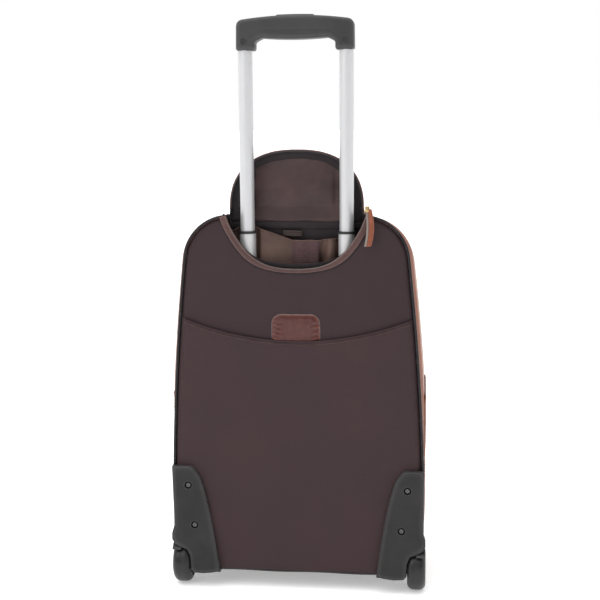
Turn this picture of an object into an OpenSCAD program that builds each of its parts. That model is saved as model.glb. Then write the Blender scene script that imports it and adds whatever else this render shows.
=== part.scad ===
// Rolling flight case: soft two-wheel case with a telescopic tow handle in a zipped top
// compartment, a lid that opens to the front, leather side walls and moulded wheel housings.
// X runs across the case, +Y towards the lid, -Y towards the wheels and tow handle, +Z up.

/* [Case] */
// Half the case's widest width, across the leather side walls
case_half_w = 177.5; // [176:0.5:180]
// Height of the crown of the back panel above the floor
crown_z = 540; // [530:1:550]
// Height of the underside of the case above the floor
base_z = 28; // [26:1:30]
// Depth from the back panel to the main zip
body_depth = 160; // [150:1:180]
// How far the front of the lid's pocket stands beyond the main zip
lid_depth = 45; // [42:1:50]
// How much lower the top is at the zip than at the back panel
top_fall = 24; // [18:1:28]
// Thickness of the padded leather walls
wall_t = 3; // [2:0.5:4]

/* [Tow handle] */
// Distance between the centres of the two tow handle tubes
tube_spacing = 137; // [130:1:144]
// Outer radius of the upper tube
upper_tube_r = 9.8; // [9.6:0.1:10]
// Wall thickness of every tube
tube_wall = 1.2; // [1.1:0.1:1.3]
// Radial gap between one tube and the next
tube_gap = 0.3; // [0.2:0.05:0.4]
// Top of the grip above the floor, upper stage out and middle stage in
grip_top_z = 800; // [780:1:810]
// Depth of the tow handle's tubes behind the back panel's face
tube_y = 22; // [20:0.5:24]

/* [Wheels] */
// Radius of the wheels
wheel_r = 31.5; // [30:0.5:33]
// Width of the tyres
tyre_w = 26; // [24:0.5:27]
// Distance from the back panel's face to the wheel axle
axle_y = 18; // [17:0.5:20]

/* [Hidden] */
$fn = 48;
eps = 0.01;
wheel_x = 167.8;                          // centre of each tyre
overhang = wheel_r - axle_y;              // how far the wheels stand behind the back panel
y_back = overhang - (body_depth + lid_depth + overhang) / 2;
function dy(d) = y_back + d;              // depth measured from the back panel's outer face

// Outline of the back panel: bowed sides, round shoulders and a flat crown
side_x = 176;                             // half width low down
side_z = 60;                              // height where the sides start to bow in
shoulder_r = 62;
shoulder_x = 90.7;
shoulder_z = crown_z - 69.9;
join_z = shoulder_z + 7.9;                // where the side meets the shoulder
bow = (side_x - shoulder_x - shoulder_r + 0.4) / pow(join_z - side_z, 2);
shoulder_a = 6.5;                         // first angle of the shoulder's arc
crown_a = 80;                             // last angle of the shoulder's arc
crown_r = (shoulder_x + shoulder_r * cos(crown_a)) / cos(crown_a);
foot_r = 12;                              // lower corners
side_grow = 7.5;                          // the side walls stand proud of the back panel
top_grow = 3;
side_steps = 7;
arc_steps = 9;
crown_steps = 5;

// Top opening of the handle compartment
scoop_z = crown_z + 21.5;                 // centre of the scooped neckline
scoop_r = 99;
scoop_belly = 3.2;                        // how much the neckline bulges past its circle
binding_w = 6.5;
mouth_half_w = 101;
mouth_z = crown_z - 24;
compartment_d = 40;                       // depth of the handle compartment

// Open flap, standing on its fold at the back edge of the mouth
flap_fold = [44.5, crown_z - 2.5];        // depth and height of the fold
flap_half_w = 97;
flap_h = 85;
flap_lean = 5;

// Slip pocket on the back panel
pocket_z = 361.5;                         // lowest point of its curved mouth
pocket_r = 427;
panel_t = 4;
skin_t = 2.4;

// Tubes: upper stage, middle stage and the fixed pair
middle_tube_r = upper_tube_r + tube_gap + tube_wall;
fixed_tube_r = middle_tube_r + tube_gap + tube_wall;
tube_x = tube_spacing / 2;
upper_tube_z = [445, grip_top_z - 26];
middle_tube_z = [140, 508];
fixed_tube_z = [38.2, 452];
slide_gap = 0.1;                          // radial gap of guides and collars

// Grip
grip_half_w = 79;
grip_low_z = grip_top_z - 46;
grip_half_d = 14;
grip_corner_drop = 6;
leg_inner_x = 54;

// Wheels and housings
bearing_r = 11;
bearing_w = 7;
axle_r = 4;
hub_r = 23;
housing_top_z = 180;
housing_back = 9;                         // how far the housings stand behind the back panel
arch_gap = 3.5;                           // between tyre and wheel arch
pocket_in_x = 151.5;                      // inner wall of the wheel arch
notch = [148, 58, 72];                    // corner of the case given up to the wheel: x, depth, height
screw_spots = [[154.6, 152.7], [146.6, 94]];

// Lid
lid_y = body_depth + 3;
lid_panel_y = 176;

// ---------- outlines and helpers ----------

// Half the outline, from the foot up to the crown, as [x, z] points
function half_outline(gs, gt, fall) = concat(
    [for (i = [0:4]) [side_x + gs - foot_r + foot_r * sin(i * 22.5),
                      base_z + foot_r - foot_r * cos(i * 22.5)]],
    [for (i = [0:side_steps]) let (z = side_z + i * (join_z - fall - side_z) / side_steps)
        [side_x + gs - bow * pow((z - side_z) * (join_z - side_z) / (join_z - fall - side_z), 2), z]],
    [for (i = [1:arc_steps]) let (a = shoulder_a + i * (crown_a - shoulder_a) / arc_steps)
        [shoulder_x + gs - gt + (shoulder_r + gt) * cos(a),
         shoulder_z - fall + (shoulder_r + gt) * sin(a)]],
    [for (i = [1:crown_steps]) let (a = crown_a + i * (90 - crown_a) / crown_steps)
        [(crown_r + gs) * cos(a), crown_z - fall + gt - crown_r + crown_r * sin(a)]]
);

// Whole closed outline, clipped to the case's width
function outline(gs = 0, gt = 0, fall = 0, clip = 1000) = let (
    half = [for (p = half_outline(gs, gt, fall)) [min(p[0], clip), p[1]]],
    n = len(half)
) concat(half, [for (i = [n - 2:-1:0]) [-half[i][0], half[i][1]]]);

// Neckline: a circle whose lower quarters bulge a little, grown by g
function neckline(g = 0, n = 72) = [for (i = [0:n - 1]) let (
    a = i * 360 / n,
    from_low = min(a > 270 ? a - 270 : abs(270 - a), 60),
    r = scoop_r + g + scoop_belly * pow(sin(3 * from_low), 2)
) [r * cos(a), scoop_z + r * sin(a)]];

// Flat shape with square lower corners and round upper ones
function round_top(half_w, z0, z1, r, n = 8) = concat(
    [[half_w, z0]],
    [for (i = [0:n]) [half_w - r + r * cos(i * 90 / n), z1 - r + r * sin(i * 90 / n)]],
    [for (i = [0:n]) [-half_w + r - r * sin(i * 90 / n), z1 - r + r * cos(i * 90 / n)]],
    [[-half_w, z0]]
);

// Stands a flat shape up in the XZ plane, from depth d0 to depth d1
module upright(d0, d1) {
    translate([0, dy(d1), 0]) rotate([90, 0, 0]) linear_extrude(d1 - d0) children();
}

module both_sides() {
    children();
    mirror([1, 0, 0]) children();
}

// Solid of the case's body form, shrunk by inset on all sides
module body_form(inset, d0, d1, clip) {
    mid = 14;
    hull() {
        upright(d0, d0 + 0.1)
            polygon(outline(3 - inset, 1 - inset, 0, clip - inset));
        upright(mid, mid + 0.1)
            polygon(outline(side_grow - inset, top_grow - inset, top_fall * mid / body_depth, clip - inset));
        upright(d1 - 0.1, d1)
            polygon(outline(side_grow - inset, top_grow - inset, top_fall, clip - inset));
    }
}

// Corner spaces that the wheels and their housings take from the case
module wheel_notches(grow = 0) {
    both_sides()
        translate([notch[0] - grow, dy(-20), -1])
            cube([60, 20 + notch[1] + grow, notch[2] + 1 + grow]);
}

// Tube swept along 3-D points, with square-cut ends
function tangent(p, i) = let (
    a = p[max(i - 1, 0)], b = p[min(i + 1, len(p) - 1)]
) (b - a) / norm(b - a);

module sweep(path, r, sides = 8) {
    across = [0, 1, 0];
    rings = [for (i = [0:len(path) - 1]) let (t = tangent(path, i), n = cross(t, across))
        for (k = [0:sides - 1]) path[i] + r * (cos(k * 360 / sides) * n + sin(k * 360 / sides) * across)];
    n = len(path);
    sides_faces = [for (i = [0:n - 2], k = [0:sides - 1]) let (k2 = (k + 1) % sides)
        [i * sides + k, i * sides + k2, (i + 1) * sides + k2, (i + 1) * sides + k]];
    triangles = [for (f = sides_faces) each [[f[0], f[1], f[2]], [f[0], f[2], f[3]]]];
    caps = concat(
        [for (k = [1:sides - 2]) [0, k + 1, k]],
        [for (k = [1:sides - 2]) [(n - 1) * sides, (n - 1) * sides + k, (n - 1) * sides + k + 1]]
    );
    polyhedron(points = rings, faces = concat(triangles, caps));
}

module tube(r, wall, z) {
    translate([0, 0, z[0]]) difference() {
        cylinder(r = r, h = z[1] - z[0]);
        translate([0, 0, -1]) cylinder(r = r - wall, h = z[1] - z[0] + 2);
    }
}

module at_tube(side) {
    translate([side * tube_x, dy(tube_y), 0]) children();
}

// ---------- back panel and what is sewn to it ----------

module back_panel() {
    color([0.28, 0.23, 0.24]) difference() {
        upright(0, panel_t) difference() {
            polygon(outline());
            polygon(neckline());
        }
        wheel_notches();
    }
}

// Region under the curved mouth of the slip pocket
module under_mouth(gap = 0) {
    difference() {
        translate([-200, 0]) square([400, pocket_z + 60]);
        translate([0, pocket_z + pocket_r]) circle(r = pocket_r + gap, $fn = 240);
    }
}

module pocket_panel() {
    color([0.29, 0.23, 0.24]) difference() {
        upright(-skin_t, 0) intersection() {
            polygon(outline(-3, -3, 0));
            under_mouth();
        }
        wheel_notches();
    }
}

tab_half_w = 33.3;
tab_top_z = pocket_z + 37.5;
tab_r = 13;

module pocket_tab() {
    color([0.40, 0.20, 0.15]) upright(-skin_t, -0.2) difference() {
        polygon(round_top(tab_half_w, pocket_z - 3, tab_top_z, tab_r));
        under_mouth(-0.4);
    }
}

module scoop_ring(inner, outer) {
    difference() {
        intersection() {
            polygon(outline(-0.5, -0.5, 0));
            polygon(neckline(outer));
        }
        polygon(neckline(inner));
    }
}

module scoop_binding() {
    lip = 1.6;
    color([0.36, 0.24, 0.22]) {
        upright(-lip, 0) scoop_ring(-lip, binding_w);
        upright(0, panel_t) scoop_ring(-lip, -0.05);
        upright(panel_t, panel_t + lip) scoop_ring(-lip, binding_w);
    }
}

// Right-hand run of a piping: down the side from the end of the scoop to the housing
function piping_points(g, d, z_min, x_min, fall) = [
    for (p = half_outline(g, g, fall)) if (p[1] > z_min && p[0] > x_min) [p[0], dy(d), p[1]]
];

piping_r = 2.1;
module back_piping() {
    grow = piping_r + 0.45;
    run = piping_points(grow, 1.5, housing_top_z + 12, mouth_half_w - 1, 0);
    foot_x = 108;
    color([0.06, 0.06, 0.07]) {
        both_sides() sweep(concat([[run[0][0] + 1.5, dy(1.5), housing_top_z + 2]], run), piping_r);
        sweep([for (i = [-4:4]) [i * foot_x / 4, dy(1.5), base_z - grow + 0.1]], piping_r);
    }
}

// ---------- side walls, base and inner frame ----------

module side_wall() {
    color([0.50, 0.27, 0.18]) difference() {
        body_form(0, panel_t, body_depth, case_half_w - 1.5);
        body_form(wall_t, panel_t - 1, body_depth + 1, case_half_w - 1.5);
        translate([-mouth_half_w, dy(0), mouth_z])
            cube([2 * mouth_half_w, compartment_d, 60]);
        translate([-200, dy(0), 0]) cube([400, body_depth + 10, base_z + 4.5]);
        wheel_notches();
    }
}

overlay_top_z = 282;
overlay_low_z = 74;
module side_overlay(side) {
    color([0.44, 0.23, 0.15]) translate([side > 0 ? case_half_w - 1.5 : -case_half_w, 0, 0])
        translate([0, dy(0), 0]) rotate([90, 0, 90]) linear_extrude(1.5) polygon([
            [64, overlay_low_z], [148, overlay_low_z], [154, overlay_top_z], [20, overlay_top_z],
            [20, housing_top_z + 6], [52, housing_top_z + 2]
        ]);
}

module base_panel() {
    color([0.12, 0.11, 0.12]) difference() {
        translate([-side_x + 2, dy(panel_t), base_z]) cube([2 * side_x - 4, body_depth - panel_t, 4]);
        wheel_notches();
        both_sides() translate([wheel_x - 28, dy(0), base_z - 1]) cube([40, axle_y + 10, 6]);
    }
}

module divider_board() {
    color([0.25, 0.22, 0.22]) difference() {
        upright(compartment_d + 0.3, compartment_d + 3)
            intersection() {
                polygon(outline(2.6, -2.6, top_fall * 0.3, case_half_w - 5));
                translate([-200, base_z + 5]) square([400, 600]);
            }
        wheel_notches(0.5);
    }
}

module compartment_lining() {
    color([0.34, 0.26, 0.22]) upright(compartment_d - 1.4, compartment_d)
        intersection() {
            polygon(outline(-14, -11, 0));
            translate([-130, 90]) square([260, crown_z - 101]);
        }
}

module lining_webbing() {
    color([0.27, 0.19, 0.19]) translate([-8, dy(compartment_d - 3.2), 452.6]) cube([36, 1.6, 43.4]);
}

module blank_label() {
    color([0.35, 0.22, 0.16]) translate([-22, dy(compartment_d - 3.2), 499]) cube([28, 1.4, 4.5]);
}

// Spring-steel hoops that hold the main compartment in shape
module frame_hoops() {
    wire_r = 1.5;
    inset = wall_t + wire_r + 0.6;
    color([0.55, 0.56, 0.58]) for (d = [compartment_d + 8, body_depth - 8]) {
        fall = top_fall * d / body_depth;
        run = [for (p = half_outline(side_grow - inset, top_grow - inset - 0.6, fall))
            if (p[1] > 76) [min(p[0], case_half_w - 1.5 - inset), dy(d), p[1]]];
        n = len(run);
        sweep(concat(run, [for (i = [n - 2:-1:0]) [-run[i][0], run[i][1], run[i][2]]]), wire_r);
    }
}

// ---------- tow handle ----------

module bracket(z0, h, floor_t) {
    difference() {
        translate([-tube_x - 18, dy(7.5), z0]) cube([2 * tube_x + 36, compartment_d - 9.1, h]);
        for (s = [-1, 1]) at_tube(s) translate([0, 0, z0 + floor_t])
            cylinder(r = fixed_tube_r + 0.05, h = h + 2);
        translate([-tube_x + 18, dy(7), z0 - 1]) cube([2 * tube_x - 36, 27, h + 2]);
    }
}

module upper_bracket() {
    color([0.10, 0.10, 0.11]) bracket(432, 20, -1);
}

module lower_bracket() {
    color([0.10, 0.10, 0.11]) bracket(base_z + 5, 20, 5);
}

module fixed_tube(side) {
    color([0.72, 0.72, 0.73]) at_tube(side) tube(fixed_tube_r, tube_wall, fixed_tube_z);
}

module fixed_tube_collars() {
    color([0.05, 0.05, 0.05]) for (s = [-1, 1]) at_tube(s)
        tube(14, 14 - middle_tube_r - slide_gap, [fixed_tube_z[1], fixed_tube_z[1] + 4]);
}

module middle_tube(side) {
    color([0.74, 0.74, 0.75]) at_tube(side) tube(middle_tube_r, tube_wall, middle_tube_z);
}

module middle_tube_collars() {
    color([0.05, 0.05, 0.05]) for (s = [-1, 1]) at_tube(s)
        tube(middle_tube_r + 0.8, middle_tube_r + 0.8 - upper_tube_r - slide_gap,
             [middle_tube_z[1], middle_tube_z[1] + 3.5]);
}

module middle_tube_guides() {
    r = middle_tube_r + tube_gap - slide_gap;
    inner_r = middle_tube_r - tube_wall - 0.05;
    color([0.85, 0.85, 0.82]) for (s = [-1, 1]) at_tube(s) difference() {
        translate([0, 0, middle_tube_z[0] - 12]) {
            cylinder(r = r, h = 12);
            cylinder(r = inner_r, h = 24);
        }
        translate([0, 0, middle_tube_z[0] - 20]) cylinder(r = 7, h = 60);
    }
}

module upper_tube(side) {
    color([0.80, 0.80, 0.81]) at_tube(side) tube(upper_tube_r, tube_wall, upper_tube_z);
}

pin_r = 2.5;
pin_z = upper_tube_z[0] - 9;
module upper_tube_plugs() {
    r = upper_tube_r + tube_gap - slide_gap;
    color([0.85, 0.85, 0.82]) for (s = [-1, 1]) at_tube(s) difference() {
        translate([0, 0, upper_tube_z[0] - 14]) {
            cylinder(r = r, h = 14);
            cylinder(r = upper_tube_r - tube_wall - 0.05, h = 26);
        }
        translate([0, 0, upper_tube_z[0] - 3]) cylinder(r = 2.2, h = 40);
        translate([s > 0 ? -4 : -16, 0, pin_z]) rotate([0, 90, 0]) cylinder(r = pin_r + 0.1, h = 20);
    }
}

// Spring-loaded pin that locks the upper stage, drawn in flush with its plug
module lock_pin(side) {
    color([0.70, 0.70, 0.70]) at_tube(side) mirror([side > 0 ? 0 : 1, 0, 0])
        translate([-1.5, 0, pin_z]) rotate([0, 90, 0]) cylinder(r = pin_r, h = 11);
}

// Grip in front view: bowed top, belly below, and a leg down each tube
function grip_profile() = let (
    top = [for (i = [-8:8]) let (x = i * (grip_half_w - 6) / 8)
        [x, grip_top_z - grip_corner_drop * pow(x / grip_half_w, 2)]],
    belly = [for (i = [6:-1:-6]) let (x = i * 44 / 6)
        [x, grip_top_z - 31.5 + 2 * pow(x / 44, 2)]]
) concat(
    top,
    [[grip_half_w - 1.5, grip_top_z - 8], [grip_half_w, grip_top_z - 12], [grip_half_w, grip_low_z]],
    [[leg_inner_x, grip_low_z], [leg_inner_x, grip_low_z + 8], [leg_inner_x - 3, grip_low_z + 13]],
    belly,
    [[-leg_inner_x + 3, grip_low_z + 13], [-leg_inner_x, grip_low_z + 8], [-leg_inner_x, grip_low_z]],
    [[-grip_half_w, grip_low_z], [-grip_half_w, grip_top_z - 12], [-grip_half_w + 1.5, grip_top_z - 8]]
);

button_half_w = 26;
button_half_d = 7;
carriage_z = grip_top_z - 23;
button_travel = 4;

module grip_shell(d0, d1) {
    difference() {
        upright(d0, d1) polygon(grip_profile());
        upright(tube_y - grip_half_d + 3, tube_y + grip_half_d - 3)
            translate([-tube_x - 7, carriage_z - 6]) square([2 * tube_x + 14, 15]);
        translate([-button_half_w - 0.4, dy(tube_y - button_half_d - 0.4), carriage_z])
            cube([2 * button_half_w + 0.8, 2 * button_half_d + 0.8, 40]);
        for (s = [-1, 1]) at_tube(s) {
            translate([0, 0, grip_low_z - 1])
                cylinder(r = upper_tube_r + 0.05, h = upper_tube_z[1] - grip_low_z + 1);
            translate([0, -20, grip_low_z + 12]) rotate([-90, 0, 0]) cylinder(r = 2.1, h = 34);
            translate([0, -20, grip_low_z + 12]) rotate([-90, 0, 0]) cylinder(r = 4.2, h = 8.5);
        }
    }
}

module grip_rear_shell() {
    color([0.17, 0.17, 0.17]) grip_shell(tube_y - grip_half_d, tube_y);
}

module grip_front_shell() {
    color([0.17, 0.17, 0.17]) grip_shell(tube_y + eps, tube_y + grip_half_d);
}

module screw(head_r, head_h, shank_r, shank_h) {
    difference() {
        union() {
            cylinder(r = head_r, h = head_h);
            translate([0, 0, -shank_h]) cylinder(r = shank_r, h = shank_h + eps);
        }
        translate([0, 0, head_h - 1]) cylinder(r = head_r * 0.45, h = 2, $fn = 6);
    }
}

module grip_screws() {
    color([0.25, 0.25, 0.25]) for (s = [-1, 1])
        at_tube(s) translate([0, -grip_half_d + 2.45, grip_low_z + 12]) rotate([90, 0, 0])
            screw(3.9, 1.6, 1.9, 1.6);
}

module grip_button() {
    color([0.20, 0.20, 0.21]) translate([0, dy(tube_y), 0]) {
        translate([-button_half_w, -button_half_d, carriage_z + 5])
            cube([2 * button_half_w, 2 * button_half_d, 18.8]);
        translate([-tube_x - 4, -4, carriage_z + 1.4]) cube([2 * tube_x + 8, 8, 3.6]);
    }
}

module release_rods() {
    color([0.62, 0.62, 0.64]) for (s = [-1, 1]) at_tube(s)
        translate([0, 0, upper_tube_z[0] + 2]) cylinder(r = 1.6, h = carriage_z + 1.4 - upper_tube_z[0] - 2);
}

// Coil of round wire, its turns worked out along a helix
module coil(r, wire_r, h, turns) {
    steps = turns * 10;
    pts = [for (i = [0:steps]) [r * cos(i * 36), r * sin(i * 36), wire_r + i * (h - 2 * wire_r) / steps]];
    ring = [for (i = [0:steps]) let (t = tangent(pts, i), n = [cos(i * 36), sin(i * 36), 0], b = cross(t, n))
        for (k = [0:5]) pts[i] + wire_r * (cos(k * 60) * n + sin(k * 60) * b)];
    walls = [for (i = [0:steps - 1], k = [0:5]) let (k2 = (k + 1) % 6)
        each [[i * 6 + k, (i + 1) * 6 + k, (i + 1) * 6 + k2], [i * 6 + k, (i + 1) * 6 + k2, i * 6 + k2]]];
    ends = concat(
        [for (k = [1:4]) [0, k, k + 1]],
        [for (k = [1:4]) [steps * 6, steps * 6 + k + 1, steps * 6 + k]]
    );
    polyhedron(points = ring, faces = concat(walls, ends));
}

module button_springs() {
    color([0.65, 0.65, 0.67]) for (s = [-1, 1])
        translate([s * 40, dy(tube_y), carriage_z - 5.9]) coil(3, 0.5, 7.2, 4);
}

// ---------- wheels and housings ----------

// Face of the right-hand housing seen from behind: curved inner edge, stepped wheel cut
function housing_face() = concat(
    [[case_half_w, housing_top_z], [152, housing_top_z]],
    [for (i = [1:9]) let (t = i / 9)
        [148 - 2 * t - 34 * pow(t, 0.62), housing_top_z - 4 - 148 * pow(t, 1.25)]],
    [[111.6, 26], [122, 23], [136, 21.5], [148, 22], [154, 24.5], [155.4, 45], [159, 56.5], [176, 64.5],
     [180, 72], [180, 80], [176.4, 92], [176.2, 110]]
);

module housing(side) {
    mirror([side > 0 ? 0 : 1, 0, 0]) difference() {
        union() {
            upright(-housing_back, -skin_t - 0.1) polygon(housing_face());
            translate([notch[0] + 0.5, dy(-skin_t - 0.2), 24]) cube([27, notch[1] + 1.5, notch[2] - 24.5]);
            translate([case_half_w - 1.5, dy(-skin_t - 0.2), 60]) cube([1.8, 50, housing_top_z - 60]);
            translate([wheel_x, dy(axle_y), wheel_r]) rotate([0, 90, 0])
                cylinder(r = wheel_r + arch_gap + 3, h = 12);
            translate([112, dy(-skin_t - 0.2), 21.5]) cube([38, 56, base_z - 21.6]);
        }
        translate([pocket_in_x, dy(axle_y), wheel_r]) rotate([0, 90, 0])
            cylinder(r = wheel_r + arch_gap, h = 60);
        translate([pocket_in_x, dy(-60), -40]) cube([60, 150, wheel_r + 40]);
        translate([pocket_in_x, dy(-60), -40]) cube([60, 60 + 12, wheel_r + 65]);
        translate([130, dy(axle_y), wheel_r]) rotate([0, 90, 0]) cylinder(r = axle_r + 0.05, h = 30);
        translate([130, dy(axle_y), wheel_r]) rotate([0, 90, 0]) cylinder(r = 9, h = notch[0] + 0.6 - 130);
        translate([100, dy(-skin_t), base_z - 0.05]) cube([notch[0] - 99.6, 200, 300]);
        translate([100, dy(-skin_t), notch[2] - 0.4]) cube([case_half_w - 1.5 - 100, 200, 300]);
        for (p = screw_spots) translate([p[0], dy(0), p[1]]) rotate([90, 0, 0]) {
            cylinder(r = 2.6, h = 20);
            translate([0, 0, housing_back - 2]) cylinder(r = 5.2, h = 5);
        }
    }
}

module wheel_housing(side) {
    color([0.19, 0.19, 0.20]) housing(side);
}

module housing_screws() {
    color([0.30, 0.30, 0.31]) both_sides() for (p = screw_spots)
        translate([p[0], dy(-housing_back + 2), p[1]]) rotate([90, 0, 0]) screw(4.6, 1.5, 2.3, 4);
}

module at_wheel(side) {
    translate([side * wheel_x, dy(axle_y), wheel_r]) rotate([0, 90, 0]) children();
}

module tyre(side) {
    edge = 9;
    half = tyre_w / 2;
    crown = wheel_r + 3;
    color([0.15, 0.15, 0.16]) at_wheel(side) rotate_extrude($fn = 72) difference() {
        intersection() {
            translate([hub_r, -half]) square([wheel_r - hub_r, tyre_w]);
            hull() for (s = [-1, 1]) {
                translate([wheel_r - edge, s * (half - edge)]) circle(r = edge);
                translate([hub_r - 2, s * (half - 1)]) square([1, 1], center = true);
            }
        }
        translate([0, -crown]) square([hub_r, 2 * crown]);
    }
}

module hub(side) {
    half = tyre_w / 2 - 1.5;
    color([0.24, 0.24, 0.25]) at_wheel(side) difference() {
        translate([0, 0, -half]) cylinder(r = hub_r - 0.05, h = 2 * half);
        translate([0, 0, -half - 1]) cylinder(r = bearing_r, h = 2 * half + 2);
        for (s = [-1, 1]) translate([0, 0, s * (half + 3)]) difference() {
            cylinder(r = hub_r - 3, h = 12, center = true);
            cylinder(r = bearing_r + 3, h = 13, center = true);
        }
    }
}

module bearings(side) {
    gap = 4;
    color([0.70, 0.71, 0.73]) for (s = [-1, 1]) at_wheel(side)
        translate([0, 0, s * (gap + bearing_w / 2) - bearing_w / 2]) difference() {
            cylinder(r = bearing_r - 0.02, h = bearing_w);
            translate([0, 0, -1]) cylinder(r = axle_r + 0.05, h = bearing_w + 2);
        }
}

// Shoulder bolts: head outside the bearing, thread through the arch's inner wall
module axles() {
    color([0.62, 0.63, 0.65]) both_sides() at_wheel(1) {
        translate([0, 0, -26]) cylinder(r = axle_r, h = 37.6);
        translate([0, 0, 11.6]) cylinder(r = 7, h = 1.6);
        translate([0, 0, -16.2]) cylinder(r = 6, h = 4.6);
    }
}

module axle_nuts() {
    color([0.62, 0.63, 0.65]) both_sides() at_wheel(1) translate([0, 0, -25]) difference() {
        cylinder(r = 7.4, h = 5, $fn = 6);
        translate([0, 0, -1]) cylinder(r = axle_r + 0.05, h = 7);
    }
}

foot_x = 128;
module front_feet() {
    color([0.12, 0.12, 0.13]) both_sides() translate([foot_x, dy(body_depth - 24), 0]) difference() {
        union() {
            translate([0, 0, 0]) cylinder(r1 = 12, r2 = 15, h = base_z - 3);
            translate([0, 0, base_z - 3.5]) cylinder(r = 19, h = 3.4);
        }
        translate([0, 0, -1]) cylinder(r = 5, h = 12);
    }
}

// ---------- flap over the handle compartment ----------

// Dome of the open flap, a superellipse cut off at its hinge
function dome(a, b, n = 24) = [for (i = [0:n]) let (t = i * 180 / n)
    [a * sign(cos(t)) * pow(abs(cos(t)), 0.77), b * pow(sin(t), 0.77)]];

module flap_panel() {
    skin = 3;
    rim = 7;
    color([0.30, 0.23, 0.21]) translate([0, dy(flap_fold[0]), flap_fold[1]]) rotate([-flap_lean, 0, 0])
        rotate([90, 0, 0]) translate([0, 0.4, 0.5]) {
            linear_extrude(skin) polygon(dome(flap_half_w, flap_h));
            translate([0, 0, skin]) linear_extrude(4.5) difference() {
                polygon(dome(flap_half_w, flap_h));
                polygon(dome(flap_half_w - rim, flap_h - rim));
                translate([-60, -10]) square([120, 12]);
            }
        }
}

slider_at = [98, -6, 544];                // open end of the flap's zip: x, depth, z
stud_drop = 1.5;                          // the stud that carries the pull sits this far below
module flap_slider() {
    color([0.72, 0.58, 0.30]) translate([slider_at[0], dy(slider_at[1]), slider_at[2]]) {
        difference() {
            translate([-4, -2.5, -6]) cube([8, 5, 12]);
            for (s = [-1, 1]) translate([s * 3.2 - 1.8, -1, -7]) cube([3.6, 1, 14]);
        }
        translate([0, -2.4, -stud_drop]) rotate([90, 0, 0]) {
            cylinder(r = 1.4, h = 6);
            translate([0, 0, 5]) cylinder(r = 2.6, h = 1);
        }
    }
}

module flap_pull() {
    color([0.55, 0.28, 0.18]) translate([slider_at[0], dy(slider_at[1]), slider_at[2]])
        difference() {
            translate([-5, -7, -50]) cube([10, 3, 52]);
            translate([0, 0, -stud_drop]) rotate([90, 0, 0]) cylinder(r = 1.5, h = 10);
        }
}

// ---------- lid ----------

module lid_rim() {
    color([0.50, 0.27, 0.18]) difference() {
        hull() {
            upright(lid_y, lid_y + 0.1)
                polygon(outline(side_grow, top_grow, top_fall, case_half_w - 1.5));
            upright(lid_panel_y, lid_panel_y + 0.1)
                polygon(outline(3, -1, top_fall + 2, case_half_w - 4));
        }
        intersection() {
            hull() {
                upright(lid_y - 1, lid_y)
                    polygon(outline(side_grow - wall_t, top_grow - wall_t, top_fall,
                                    case_half_w - 1.5 - wall_t));
                upright(lid_panel_y + 0.2, lid_panel_y + 0.4)
                    polygon(outline(3 - wall_t, -1 - wall_t, top_fall + 2, case_half_w - 4 - wall_t));
            }
            translate([-200, dy(lid_y - 2), base_z + wall_t]) cube([400, 40, 600]);
        }
    }
}

module front_panel() {
    color([0.47, 0.25, 0.17]) upright(lid_panel_y + 0.2, lid_panel_y + 4)
        polygon(outline(2, -2, top_fall + 2, case_half_w - 5));
}

module front_piping() {
    grow = piping_r + 2.8;
    run = [for (p = half_outline(grow, grow - 4, top_fall + 2))
        if (p[1] > base_z + 8) [min(p[0], case_half_w - 2), dy(lid_panel_y + 2), p[1]]];
    n = len(run);
    color([0.06, 0.06, 0.07])
        sweep(concat(run, [for (i = [n - 2:-1:0]) [-run[i][0], run[i][1], run[i][2]]]), piping_r);
}

// Zipped pocket on the lid: a shallow box with round corners
pocket_top_z = 310;
pocket_low_z = 40;
module pocket_form(inset, y0) {
    front_y = body_depth + lid_depth - 1 - inset;
    hull() for (s = [-1, 1], top = [0, 1]) {
        z = top ? pocket_top_z - 32 : pocket_low_z + 32;
        translate([s * 118, dy(y0), z]) rotate([-90, 0, 0]) cylinder(r = 32 - inset, h = 1, $fn = 32);
        translate([s * 115, dy(front_y), z]) rotate([-90, 0, 0]) cylinder(r = 28 - inset, h = 1, $fn = 32);
    }
}

module front_pocket() {
    color([0.45, 0.24, 0.16]) difference() {
        pocket_form(0, lid_panel_y + 4.1);
        pocket_form(2.2, lid_panel_y + 3);
    }
}

module pocket_slider() {
    color([0.72, 0.58, 0.30]) translate([-96, dy(lid_panel_y + 13), pocket_top_z + 0.3]) {
        translate([-5, -3, 0]) cube([10, 6, 3]);
        translate([-27, -2.2, 0.8]) cube([22.5, 4.4, 1.6]);
    }
}

// Zip teeth around the main opening, one half on the case and one on the lid
module zip_ring(d0, d1) {
    upright(d0, d1) difference() {
        intersection() {
            polygon(outline(side_grow - 0.4, top_grow - 0.4, top_fall, case_half_w - 2));
            translate([-200, 60]) square([400, 600]);
        }
        polygon(outline(side_grow - 2.6, top_grow - 2.6, top_fall, case_half_w - 4));
    }
}

module main_zip() {
    color([0.10, 0.09, 0.09]) zip_ring(body_depth + 0.1, body_depth + 2.8);
}

function crown_at(x, gt) = crown_z - top_fall + gt - crown_r + sqrt(crown_r * crown_r - x * x);

module main_slider(side) {
    x = side * 9;
    color([0.72, 0.58, 0.30]) translate([x, dy(body_depth + 1.5), crown_at(9, top_grow) + 1.2]) {
        translate([-4.5, -4, 0]) cube([9, 8, 3]);
        translate([-2.5, 4, 0.6]) cube([5, 20, 1.8]);
    }
}

// ---------- carry handle ----------

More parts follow.
